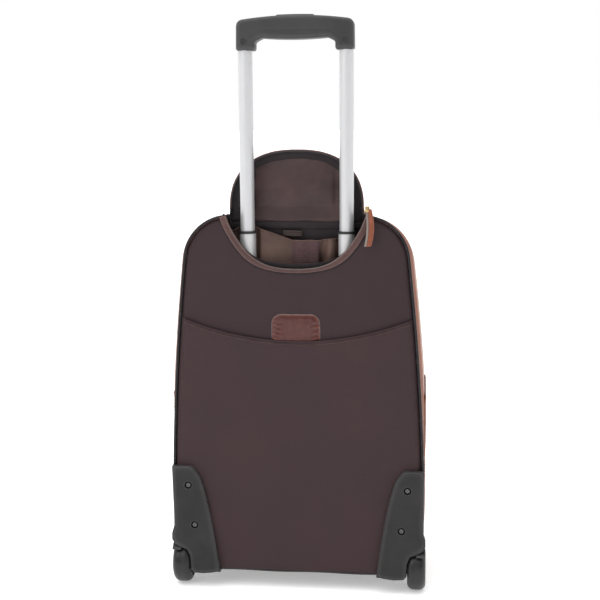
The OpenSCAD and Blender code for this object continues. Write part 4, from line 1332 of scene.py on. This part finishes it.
pull_rings = []
for i in range(34):
    t = i / 33
    z = pull_z(t)
    half = 4.6 + 0.6 * math.sin(math.pi * t) - 0.5 * (1 - t)
    bow = 0.9 * math.sin(t * 4.2) + 0.25 * wobble(t * 5, 0.3)
    x = pull_x(t)
    ring = [(-half, 0.9), (-half, -0.3), (-half + 0.7, -1.15), (0, -1.35), (half - 0.7, -1.15),
            (half, -0.3), (half, 0.9), (half - 0.6, 1.3), (-half + 0.6, 1.3)]
    pull_rings.append([(x + a, SLIDER_D - 5.6 + b + bow, z) for a, b in ring])
pull = loft("zip_pull", pull_rings, PULL_LEATHER)
subdivide(pull)
dress(pull, "flap_pull", "flap_pull")
cut_line = [(min(p[0] for p in ring) + 1.1, ring[1][1] - 0.5, ring[0][2]) for ring in pull_rings[1:]]
cut_edge = ribbon("zip_pull_edge", cut_line, [(-1.5, -0.9), (-1.5, 0.5), (1.4, 0.9), (1.4, -0.9)], CUT_EDGE,
                  up=(0, -1, 0))
dress(cut_edge, "flap_pull")
for side, word in SIDES:
    line = [(pull_x(t) + 0.8 + side * 2.4, SLIDER_D - 7.05 + 0.9 * math.sin(t * 4.2), pull_z(t))
            for t in np.linspace(0.16, 0.97, 30)]
    run = stitches("zip_pull_stitches_" + word, line, (0, -1, 0), DARK_THREAD, 2.0, 0.9, 0.2)
    dress(run, "flap_pull")

# ---------- tow grip ----------

GRIP_TOP = 800.0


def grip_line():
    top = [(x, GRIP_TOP - 6 * (x / 79) ** 2, 0) for x in np.linspace(-70, 70, 21)]
    belly = [(x, GRIP_TOP - 31.5 + 2 * (x / 44) ** 2, 0) for x in np.linspace(44, -44, 15)]
    right = [(79, GRIP_TOP - 6.5, 9), (79.6, GRIP_TOP - 44, 2), (77.5, 754.2, 1.2), (55.5, 754.2, 1.2),
             (54, 757, 1.5), (54, 765.5, 4)]
    left = [(-x, z, r) for x, z, r in reversed(right)]
    return rounded(top + right + belly + left, 7)


def carve(obj, cutters):
    """Cuts shapes out of a piece for good, and drops the shapes."""
    for cutter in cutters:
        cut = obj.modifiers.new("cut", "BOOLEAN")
        cut.operation = "DIFFERENCE"
        cut.solver = "EXACT"
        cut.object = cutter
    graph = bpy.context.evaluated_depsgraph_get()
    mesh = bpy.data.meshes.new_from_object(obj.evaluated_get(graph))
    obj.modifiers.clear()
    old = obj.data
    obj.data = mesh
    mesh.name = obj.name
    bpy.data.meshes.remove(old)
    for cutter in cutters:
        bpy.data.meshes.remove(cutter.data)
    sharpen(obj)


def circle(x, z, r, steps=32):
    return [(x + r * math.cos(2 * math.pi * i / steps), z + r * math.sin(2 * math.pi * i / steps))
            for i in range(steps)]


def box_line(x0, x1, z0, z1, r=0.0):
    return rounded([(x1, z0, r), (x1, z1, r), (x0, z1, r), (x0, z0, r)], 5)


def tube_hole(side):
    """Form of the upper tube's end inside the grip's leg."""
    path = [(side * TUBE_X, TUBE_D, z) for z in (740, 760, 774.2)]
    return tube("cutter", path, 9.95, GRIP_PLASTIC, 40)


def grip_relief(x, z):
    """A shallow crease along the bar that runs into the inner curve of the legs."""
    crease = 781.0 - 9.0 * smooth_step(44, 58, abs(x))
    return 0.55 * math.exp(-(((z - crease) / 1.0) ** 2)) * smooth_step(62, 52, abs(x))


grip_shape = anticlockwise(grip_line())
for name, d0, d1, front, back, node in (
    ("grip_back_half", TUBE_D - 14, TUBE_D - 0.15, 5.5, 0.3, "grip_rear_shell"),
    ("grip_lid_half", TUBE_D + 0.15, TUBE_D + 14, 0.3, 5.5, "grip_front_shell"),
):
    half = plate(name, grip_shape, 1.7, d0, d1, front, back, GRIP_PLASTIC,
                 relief=grip_relief if front > 1 else None)
    cutters = [pillow("cutter", box_line(-26.5, 26.5, 785, 820, 2.0), TUBE_D - 7.5, TUBE_D + 7.5, 0.1, 0.1,
                      GRIP_PLASTIC, 2)]
    cutters += [tube_hole(s) for s in (1, -1)]
    if front > 1:
        cutters += [pillow("cutter", circle(s * TUBE_X, 766, 4.3), TUBE_D - 20, TUBE_D - 11.4, 0.05, 0.05,
                           GRIP_PLASTIC, 2) for s in (1, -1)]
    carve(half, cutters)
    dress(half, "upper_stage", node)

button_line = [(x, 800.9 + 0.5 * math.cos(x / 16.5), 1.8 if abs(x) > 25 else 0)
               for x in np.linspace(25.8, -25.8, 17)]
button_line = anticlockwise(rounded([(25.8, 781, 0)] + button_line + [(-25.8, 781, 0)], 6))
thumb_button = plate("thumb_button", button_line, 1.5, TUBE_D - 7, TUBE_D + 7, 2.0, 2.0, GRIP_PLASTIC)
dress(thumb_button, "release", "grip_button")

# ---------- wheel housings ----------


def housing_line():
    inner = [(148 - 2 * t - 34 * t**0.62, HOUSING_TOP - 4 - 148 * t**1.25, 0)
             for t in np.linspace(0.06, 1, 24)]
    foot = [(111.8, 25.5, 3), (124, 22.6, 3), (137, 21.3, 3), (149, 21.8, 4), (154.2, 25, 3)]
    arch = [(155.4, 46, 6), (160, 57.5, 7), (175.5, 64.8, 5), (180.3, 72, 4)]
    outer = [(180.3, 81, 5), (176.9, 92, 6), (177.6, HOUSING_TOP, 1.5), (148.8, HOUSING_TOP + 0.2, 10)]
    return anticlockwise(rounded(inner + foot + arch + outer, 6))


right_face = housing_line()
SCREWS = [(154.6, 152.7), (146.6, 94)]
for side, word in SIDES:
    line = right_face if side > 0 else [(-x, z) for x, z in reversed(right_face)]
    cover = plate("housing_cover_" + word, line, 2.6, -9.6, -2.6, 4.0, 0.2, HOUSING_PLASTIC)
    carve(cover, [pillow("cutter", circle(side * x, z, 5.3), -14, -7.0, 0.05, 0.05, HOUSING_PLASTIC, 2)
                  for x, z in SCREWS])
    dress(cover, "case")
    # A near-black lip over the wheel's top: painted shade in the gap between the housing and the tyre.
    lip = rounded([(157.5, 58.0, 1), (164, 61.0, 2), (176, 65.5, 3), (180.2, 70.5, 1), (180.2, 78, 1),
                   (172, 75, 1), (156, 68, 1)], 3)
    shade = plate("arch_lip_shade_" + word, anticlockwise([(side * x, z) for x, z in lip]), 2.0, -8.4, -6.6, 0.5,
                  0.2, SHADE_PLASTIC)
    dress(shade, "case")
    for k, (x, z) in enumerate(SCREWS):
        # A near-black disc round each screw head: painted shade in its recess.
        ring = pillow("screw_ring_shade_" + word + "_" + str(k), circle(side * x, z, 5.0), -7.5, -6.9, 0.3, 0.05,
                      SHADE_PLASTIC, 3)
        head = pillow("screw_head_" + word + "_" + str(k), circle(side * x, z, 3.4), -8.9, -7.4, 0.9, 0.05,
                      SCREW, 4)
        turn = 0.5 + 0.7 * k + 0.3 * side
        bars = []
        for angle in (turn, turn + math.pi / 2):
            c, a = math.cos(angle), math.sin(angle)
            bars.append([(side * x + u * c - v * a, z + u * a + v * c)
                         for u, v in ((2, -0.42), (2, 0.42), (-2, 0.42), (-2, -0.42))])
        carve(head, [pillow("cutter", bar, -12, -8.0, 0.02, 0.02, SCREW, 2) for bar in bars])
        for piece in (ring, head):
            dress(piece, "case")
        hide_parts("housing_screws")

# ---------- side pockets ----------

side_pocket_line = rounded([(150, 76, 8), (156, 282, 2), (18, 282, 2), (18, 190, 10), (54, 182, 14),
                            (66, 76, 8)], 7)


def side_pocket_depth(a, z, e):
    swell = 2.4 * rise(e, 10.0)
    lip = 1.3 * math.exp(-(((282 - z) / 4.5) ** 2))
    return -swell - lip - 0.5 * wobble(a * 0.03, z * 0.025, 2.0)


for side, word in SIDES:
    def on_side(v, side=side):
        a, h, z = v[0], v[1], v[2]
        return (side * (177.3 - h), a, z)

    pocket = sheet_piece("side_pocket_" + word, side_pocket_line, 4.2, side_pocket_depth, 1.6, COGNAC,
                         lean=on_side)
    fix_normals(pocket)
    dress(pocket, "case", "side_overlay_" + word)
    seam = [p for p in inset(anticlockwise(side_pocket_line), 4.0) if p[1] < 279]
    start = max(range(len(seam)), key=lambda i: math.dist(seam[i], seam[i - 1]))
    seam = seam[start:] + seam[:start]
    line = [on_side((a, side_pocket_depth(a, z, 4.0) - 0.05, z)) for a, z in seam]
    top = [on_side((a, side_pocket_depth(a, 277.5, 4.5) - 0.05, 277.5)) for a in np.linspace(22, 152, 30)]
    for k, run in enumerate((line, top)):
        sewn = stitches("side_stitches_" + word + "_" + str(k), run, (side, 0, 0), THREAD, 3.4, 1.3, 0.34)
        dress(sewn, "case")

# ---------- lid ----------

LID_D, LID_PANEL_D = 163.0, 176.0
lid_rings = []
for t in (0, 0.15, 0.35, 0.55, 0.75, 0.9, 1.0):
    d = LID_D + (LID_PANEL_D - LID_D) * t
    curve = t * t
    lid_rings.append([(x, d, z) for x, z in resample(
        outline(7.5 - 4.5 * curve, 3 - 4 * curve, TOP_FALL + 2 * t, SIDE_CLIP - 2.5 * curve), 5.0)])
lid_skin = loft("lid_leather", even_rings(lid_rings), COGNAC, close_ring=False, caps=False)
thicken(lid_skin, 2.6)
dress(lid_skin, "lid", "lid_rim")

front_line = outline(2.4, -1.6, TOP_FALL + 2, SIDE_CLIP - 4)
front_points, front_faces, _ = fill(front_line, 6.0)
front_rim, _ = distances(front_points, front_line, True)


def front_depth(x, z, e):
    swell = 1.4 * rise(e, 40) - 1.6 * bell(e, 0, 5.0)
    return LID_PANEL_D + 3.8 + swell + 0.5 * wobble(x * 0.02, z * 0.018, 4.0)


front_face = two_faced("front_leather", front_points, front_faces,
                       [front_depth(x, z, e) - 2.4 for (x, z), e in zip(front_points, front_rim)], 2.4,
                       COGNAC)
dress(front_face, "lid", "front_panel")

lid_lining_line = outline(-1.6, -5.6, TOP_FALL + 2, SIDE_CLIP - 8)
lid_lining = sheet_piece(
    "lid_lining", lid_lining_line, 9.0,
    lambda x, z, e: 174.6 + 1.5 * math.exp(-e / 8.0) + 0.8 * wobble(x * 0.03, z * 0.02, 3.0), 0.8, LINING)
dress(lid_lining, "lid")

front_run = [(x, LID_PANEL_D + 1.6, z)
             for x, z in resample(outline(4.4, 0.4, TOP_FALL + 2, SIDE_CLIP - 1.4), 3.0)]
front_cord = tube("front_cord", front_run, crinkle, PIPING, 12)
dress(front_cord, "lid", "front_piping")
front_seam = [(x, z) for x, z in resample(outline(-5, -9, TOP_FALL + 2, SIDE_CLIP - 11), 4.0)]
sewn = stitches("front_stitches", [(x, front_depth(x, z, 7.0) + 0.05, z) for x, z in front_seam], (0, 1, 0),
                THREAD, 3.4, 1.3, 0.32)
dress(sewn, "lid")


def puff(obj, pressure, cap, pinned, frames=20, stiff=12.0):
    """Blows a closed cloth form up a little with Blender's cloth solver, then keeps the result."""
    start = [v.co.copy() for v in obj.data.vertices]
    group = obj.vertex_groups.new(name="seam")
    group.add([v.index for v in obj.data.vertices if pinned(v.co)], 1.0, "REPLACE")
    cloth = obj.modifiers.new("cloth", "CLOTH")
    s = cloth.settings
    s.quality = 6
    s.mass = 0.25
    s.tension_stiffness = s.compression_stiffness = stiff
    s.shear_stiffness = stiff * 0.6
    s.bending_stiffness = 2.5
    s.use_pressure = True
    s.uniform_pressure_force = pressure
    s.effector_weights.gravity = 0
    s.vertex_group_mass = group.name
    scene = bpy.context.scene
    cloth.point_cache.frame_end = frames
    for f in range(1, frames + 1):
        scene.frame_set(f)
    graph = bpy.context.evaluated_depsgraph_get()
    blown = [v.co.copy() for v in obj.evaluated_get(graph).data.vertices]
    obj.modifiers.remove(cloth)
    obj.vertex_groups.remove(group)
    for v, a, b in zip(obj.data.vertices, start, blown):
        move = b - a
        if move.length > cap:
            move *= cap / move.length
        v.co = a + move
    obj.data.update()
    scene.frame_set(1)


pocket_shape = rounded([(149, 41, 30), (149, 309, 30), (-149, 309, 30), (-149, 41, 30)], 10)
pocket_shape = anticlockwise(resample(pocket_shape, 6.0, closed=True))
puffed_points, puffed_faces, rim_count = fill(pocket_shape, 6.5)
puffed_rim, _ = distances(puffed_points, pocket_shape, True)


def pocket_front(x, z, e):
    return 201.5 - 8.5 * bell(e, 0, 7.5) + 0.5 * wobble(x * 0.02, z * 0.02, 6.0)


n = len(puffed_points)
verts = [(x, pocket_front(x, z, e), z) for (x, z), e in zip(puffed_points, puffed_rim)]
steps = 4
base = len(verts)
for k in range(1, steps + 1):
    verts += [(x, pocket_front(x, z, 0.0) + (180.6 - pocket_front(x, z, 0.0)) * k / steps, z)
              for x, z in puffed_points[:rim_count]]
faces = [tuple(reversed(f)) for f in puffed_faces]
for k in range(steps):
    lower = 0 if k == 0 else base + (k - 1) * rim_count
    upper = base + k * rim_count
    for i in range(rim_count):
        j = (i + 1) % rim_count
        faces.append((lower + i, lower + j, upper + j, upper + i))
faces.append(tuple(base + (steps - 1) * rim_count + i for i in range(rim_count)))
soft_pocket = make("front_pocket_leather", verts, faces, COGNAC)
fix_normals(soft_pocket)
puff(soft_pocket, 3.0, 0.004, pinned=lambda co: co.y < place(0, 182, 0).y)
subdivide(soft_pocket)
dress(soft_pocket, "lid", "front_pocket")

pocket_cord = tube("front_pocket_cord",
                   [(x, 193.5, z) for x, z in resample(pocket_shape, 3.0, closed=True)], crinkle, PIPING,
                   10, closed=True)
dress(pocket_cord, "lid")


def zip_teeth(name, path, outward, shift, material, pitch=2.6, reach=2.2):
    """A row of small teeth along a path, each tooth as wide as half the pitch."""
    points = resample(path, pitch)
    verts, faces = [], []
    toward = Vector(outward)
    for a, b in zip(points[:-1], points[1:]):
        a, b = Vector(a), Vector(b)
        along = (b - a).normalized()
        across = along.cross(toward).normalized()
        centre = (a + b) / 2 + along * shift
        base = len(verts)
        for s in (-1, 1):
            for u, w in ((-0.9, 0), (0.9, 0), (0.9, 0.55), (0.4, 0.95), (-0.4, 0.95), (-0.9, 0.55)):
                verts.append(tuple(centre + along * (0.52 * s) + across * (u * reach / 1.8)
                                   + toward * (w * 1.4)))
        faces += skin(base, 6, 2)
    obj = make(name, verts, faces, material, smooth=False)
    fix_normals(obj)
    return obj


tape_path = [(x, 189.0, 311.0) for x in np.linspace(-126, 126, 40)]
pocket_tape = ribbon("pocket_zip_tape", tape_path,
                     [(-6, 0), (-5.8, 0.6), (0, 0.8), (5.8, 0.6), (6, 0), (5.8, -0.5), (-5.8, -0.5)],
                     DARK_TAPE, up=(0, 0, 1))
pocket_row = zip_teeth("pocket_zip_teeth", [(x, 189.0, 311.7) for x, _, _ in tape_path], (0, 0, 1), 0.0,
                       BRASS)
for piece in (pocket_tape, pocket_row):
    dress(piece, "lid")

main_line = [(x, z) for x, z in resample(outline(7.2, 2.7, TOP_FALL, SIDE_CLIP - 0.3), 3.0) if z > 58]
for name, d0, d1, body in (("main_tape_case", 157.5, 161.3, "case"), ("main_tape_lid", 161.7, 165.0, "lid")):
    rings = [[(x, d0, z), (x, d1, z)] for x, z in main_line]
    inner = [[(x * 0.992, d0, z - 1.0 * (z - 300) / 250), (x * 0.992, d1, z - 1.0 * (z - 300) / 250)]
             for x, z in main_line]
    rings = [[a[0], a[1], b[1], b[0]] for a, b in zip(rings, inner)]
    tape = loft(name, rings, DARK_TAPE)
    dress(tape, body)
    if body == "case":
        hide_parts("main_zip")


def teeth_ring(name, d, shift, body):
    points = resample(main_line, 2.6)
    verts, faces = [], []
    for (ax, az), (bx, bz) in zip(points[:-1], points[1:]):
        size = math.hypot(bx - ax, bz - az) or 1.0
        tx, tz = (bx - ax) / size, (bz - az) / size
        nx, nz = tz, -tx
        cx, cz = (ax + bx) / 2 + tx * shift, (az + bz) / 2 + tz * shift
        base = len(verts)
        for s in (-0.5, 0.5):
            for u, w in ((-0.95, -0.2), (0.95, -0.2), (0.95, 0.6), (0.5, 1.1), (-0.5, 1.1), (-0.95, 0.6)):
                verts.append((cx + tx * s + nx * w, d + u, cz + tz * s + nz * w))
        faces += skin(base, 6, 2)
    obj = make(name, verts, faces, BRASS, smooth=False)
    fix_normals(obj)
    dress(obj, body)


teeth_ring("main_teeth_case", 160.9, 0.0, "case")
teeth_ring("main_teeth_lid", 162.1, 1.3, "lid")

hinge_rings = []
for x in np.linspace(-158, 158, 60):
    ring = [(150, 27.6), (155, 27.0), (159, 26.6), (163, 26.4), (167, 26.6), (171, 27.0), (175, 27.6)]
    ring = ring + [(d, z + 1.5) for d, z in reversed(ring)]
    hinge_rings.append([(float(x), d, z) for d, z in ring])
hinge = loft("lid_hinge_strip", hinge_rings, COGNAC)
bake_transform(hinge)

# ---------- main compartment ----------

room_rings = even_rings([
    [(x, d, z) for x, z in resample(outline(4.2, -0.4, TOP_FALL * d / DEPTH, SIDE_CLIP - 3.4), 7.0) if z > 73]
    for d in (45, 60, 80, 100, 120, 140, 155)
])
room_skin = loft("room_lining", room_rings, LINING, close_ring=False, caps=False)
thicken(room_skin, 0.5)
dress(room_skin, "case")

strap_profile = [(-12.5, 0.0), (-12.2, 0.6), (0, 0.75), (12.2, 0.6), (12.5, 0.0), (12.2, -0.5), (-12.2, -0.5)]
straps = []
for side, word in SIDES:
    run = [(side * 62.5, 44.6 + 0.9 + 0.6 * math.sin(z * 0.03 + side), z) for z in np.linspace(118, 452, 80)]
    straps.append(ribbon("packing_strap_" + word, run, strap_profile, WEBBING, up=(0, 1, 0)))
    cross = [(side * x, 46.4 + 0.3 * math.sin(x * 0.2), 288) for x in np.linspace(16, 56, 20)]
    straps.append(ribbon("cross_strap_" + word, cross, [(a * 0.72, b) for a, b in strap_profile], WEBBING,
                         up=(0, 1, 0)))
for piece in straps:
    dress(piece, "case")
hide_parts("packing_straps")
buckle = pillow("strap_buckle", rounded([(19, 275, 3), (19, 301, 3), (-19, 301, 3), (-19, 275, 3)], 5),
                45.6, 51.5, 0.8, 2.2, BLACK_PLASTIC, 5)
slot_lines = [rounded([(14, z, 2), (14, z + 5, 2), (-14, z + 5, 2), (-14, z, 2)], 4) for z in (280, 291)]
carve(buckle, [pillow("cutter", line, 40, 60, 0.1, 0.1, BLACK_PLASTIC, 2) for line in slot_lines])
dress(buckle, "case")

# ---------- carry handle ----------

HANDLE_D, ANCHOR_X = 84.0, 88.0
PIVOT_Z = top_surface(ANCHOR_X, HANDLE_D) + 6.4
bar_path = []
for t in np.linspace(-1, 1, 90):
    s = abs(t)
    x = math.copysign(84.0 * min(1.0, s * 1.25), t)
    slack = 1 - smooth_step(0.66, 1.0, s)
    bar_path.append((x, HANDLE_D + 30.0 * slack, PIVOT_Z + 5.4 * slack**1.5))
bar_path = [tuple(p) for p in resample(bar_path, 2.4)]


def bar_radius(index, count):
    s = abs(2 * index / (count - 1) - 1)
    return 7.9 - 4.6 * smooth_step(0.66, 0.9, s)


handle_rings = []
count = len(bar_path)
for i, (p, side_v, upward) in enumerate(frames(bar_path, up=(0, 0, 1))):
    r = bar_radius(i, count)
    flat = 1 - 0.35 * smooth_step(0.7, 0.95, abs(2 * i / (count - 1) - 1))
    handle_rings.append([
        tuple(p + side_v * (r * math.cos(a))
              + upward * (r * flat * math.sin(a) * (1 + 0.02 * wobble(i * 0.2, a))))
        for a in np.linspace(0, 2 * math.pi, 18, endpoint=False)
    ])
rolled = loft("rolled_handle", handle_rings, COGNAC)
dress(rolled, "carry_handle", "carry_handle")
seam = [(p[0], p[1] - 8.0 * 0.75, p[2] - 5.4) for p in bar_path if abs(p[0]) < 70]
sewn = stitches("handle_stitches", seam, (0, -0.74, -0.67), THREAD, 3.2, 1.2, 0.36)
dress(sewn, "carry_handle")
for side, word in SIDES:
    pin = tube("handle_pin_" + word, [(side * x, HANDLE_D, PIVOT_Z) for x in np.linspace(79, 98, 8)], 2.1,
               STEEL, 16, up=(0, 0, 1))
    loop = tube("handle_loop_" + word, [(side * x, HANDLE_D, PIVOT_Z) for x in np.linspace(80.2, 87.6, 6)],
                3.7, COGNAC, 20, up=(0, 0, 1))
    for piece in (pin, loop):
        dress(piece, "carry_handle")

    def on_top(v, side=side):
        """Lays a flat shape on the case's top; v is x, height, d."""
        x, h, d = v
        return (x, d, top_surface(x, d) + 0.6 - h)

    pad_line = rounded([(side * 112, 66, 7), (side * 112, 102, 7), (side * 72, 102, 7), (side * 72, 66, 7)],
                       8)
    pad_line = anticlockwise(pad_line)
    pad = sheet_piece("anchor_pad_" + word, pad_line, 2.4, lambda x, d, e: -1.9 * rise(e, 1.4), 1.2,
                      TAB_LEATHER, lean=on_top)
    fix_normals(pad)
    dress(pad, "case")
    ring = inset(pad_line, 3.2)
    sewn = stitches("anchor_stitches_" + word, [on_top((x, -1.95, d)) for x, d in ring + ring[:1]],
                    (0, 0, 1), THREAD, 2.6, 1.0, 0.28)
    dress(sewn, "case")
    for k, x in enumerate((77.0, 90.6)):
        lug_line = rounded([(HANDLE_D + 8, PIVOT_Z - 8.5, 1), (HANDLE_D + 5.5, PIVOT_Z + 4.5, 5),
                            (HANDLE_D - 5.5, PIVOT_Z + 4.5, 5), (HANDLE_D - 8, PIVOT_Z - 8.5, 1)], 6)

        def as_lug(v, side=side, x=x):
            a, h, z = v
            return (side * (x + h), a, z)

        lug = pillow("anchor_lug_" + word + "_" + str(k), anticlockwise(lug_line), -1.3, 1.3, 0.5, 0.5,
                     BRASS, 3, lean=as_lug)
        dress(lug, "case")
    if side > 0:
        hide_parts("handle_anchors")

# ---------- camera, light and floor ----------


def set_camera():
    """Looks at the back from a little to the right and above, at eye level with the tow grip."""
    yaw, pitch, roll = math.radians(6.38), math.radians(9.32), math.radians(0.45)
    forward = Vector((-math.sin(yaw) * math.cos(pitch), math.cos(yaw) * math.cos(pitch), -math.sin(pitch)))
    right = Vector((math.cos(yaw), math.sin(yaw), 0))
    down = forward.cross(right)
    tilted_right = math.cos(roll) * right + math.sin(roll) * down
    tilted_down = -math.sin(roll) * right + math.cos(roll) * down
    data = bpy.data.cameras.new("camera")
    data.lens = 66.44
    data.sensor_width = 36
    cam = bpy.data.objects.new("camera", data)
    bpy.context.scene.collection.objects.link(cam)
    rotation = Matrix((tilted_right, -tilted_down, -forward)).transposed()
    cam.matrix_world = Matrix.Translation(place(172.2, -1488.0, 664.4)) @ rotation.to_4x4()
    bpy.context.scene.camera = cam


def area_light(name, spot, aim, size, power):
    data = bpy.data.lights.new(name, "AREA")
    data.shape = "RECTANGLE"
    data.size, data.size_y = size
    data.energy = power
    lamp = bpy.data.objects.new(name, data)
    bpy.context.scene.collection.objects.link(lamp)
    lamp.location = spot
    lamp.rotation_mode = "QUATERNION"
    lamp.rotation_quaternion = (Vector(aim) - Vector(spot)).to_track_quat("-Z", "Y")


def light_scene():
    """White studio: bright all round, softer from the camera's side, and a broad light overhead."""
    scene = bpy.context.scene
    scene.view_settings.view_transform = "Standard"
    world = bpy.data.worlds.new("studio")
    scene.world = world
    world.use_nodes = True
    nodes, links = world.node_tree.nodes, world.node_tree.links
    around = nodes["Background"]
    around.inputs["Color"].default_value = (1, 1, 1, 1)
    direction = nodes.new("ShaderNodeTexCoord")
    split = nodes.new("ShaderNodeSeparateXYZ")
    links.new(direction.outputs["Generated"], split.inputs[0])
    level = nodes.new("ShaderNodeMapRange")
    level.interpolation_type = "SMOOTHSTEP"
    level.inputs["From Min"].default_value = -1.0
    level.inputs["From Max"].default_value = 0.35
    level.inputs["To Min"].default_value = 0.42
    level.inputs["To Max"].default_value = 1.15
    links.new(split.outputs["Y"], level.inputs["Value"])
    links.new(level.outputs["Result"], around.inputs["Strength"])
    white = nodes.new("ShaderNodeBackground")
    white.inputs["Color"].default_value = (1, 1, 1, 1)
    white.inputs["Strength"].default_value = 1.0
    seen = nodes.new("ShaderNodeLightPath")
    mix = nodes.new("ShaderNodeMixShader")
    links.new(seen.outputs["Is Camera Ray"], mix.inputs[0])
    links.new(around.outputs[0], mix.inputs[1])
    links.new(white.outputs[0], mix.inputs[2])
    links.new(mix.outputs[0], nodes["World Output"].inputs["Surface"])
    sun_data = bpy.data.lights.new("overhead", "SUN")
    sun_data.energy = 1.3
    sun_data.angle = math.radians(50)
    sun = bpy.data.objects.new("overhead", sun_data)
    sun.rotation_euler = (math.radians(16), math.radians(-12), 0)
    scene.collection.objects.link(sun)
    area_light("key", (-1.5, -1.9, 1.7), (0, 0, 0.4), (1.2, 1.2), 12)
    floor_mesh = bpy.data.meshes.new("floor")
    reach = 60.0
    floor_mesh.from_pydata([(-reach, -reach, 0), (reach, -reach, 0), (reach, reach, 0), (-reach, reach, 0)],
                           [], [(0, 1, 2, 3)])
    floor = bpy.data.objects.new("floor", floor_mesh)
    scene.collection.objects.link(floor)
    s = Shader("floor_paper", 0.9, Emission_Color=(1, 1, 1, 1), Emission_Strength=0.34)
    s.colour(s.mix(s.noise(3.0, 2.0), (0.93, 0.93, 0.93, 1), (0.96, 0.96, 0.96, 1)))
    floor_mesh.materials.append(s.material)


set_camera()
light_scene()
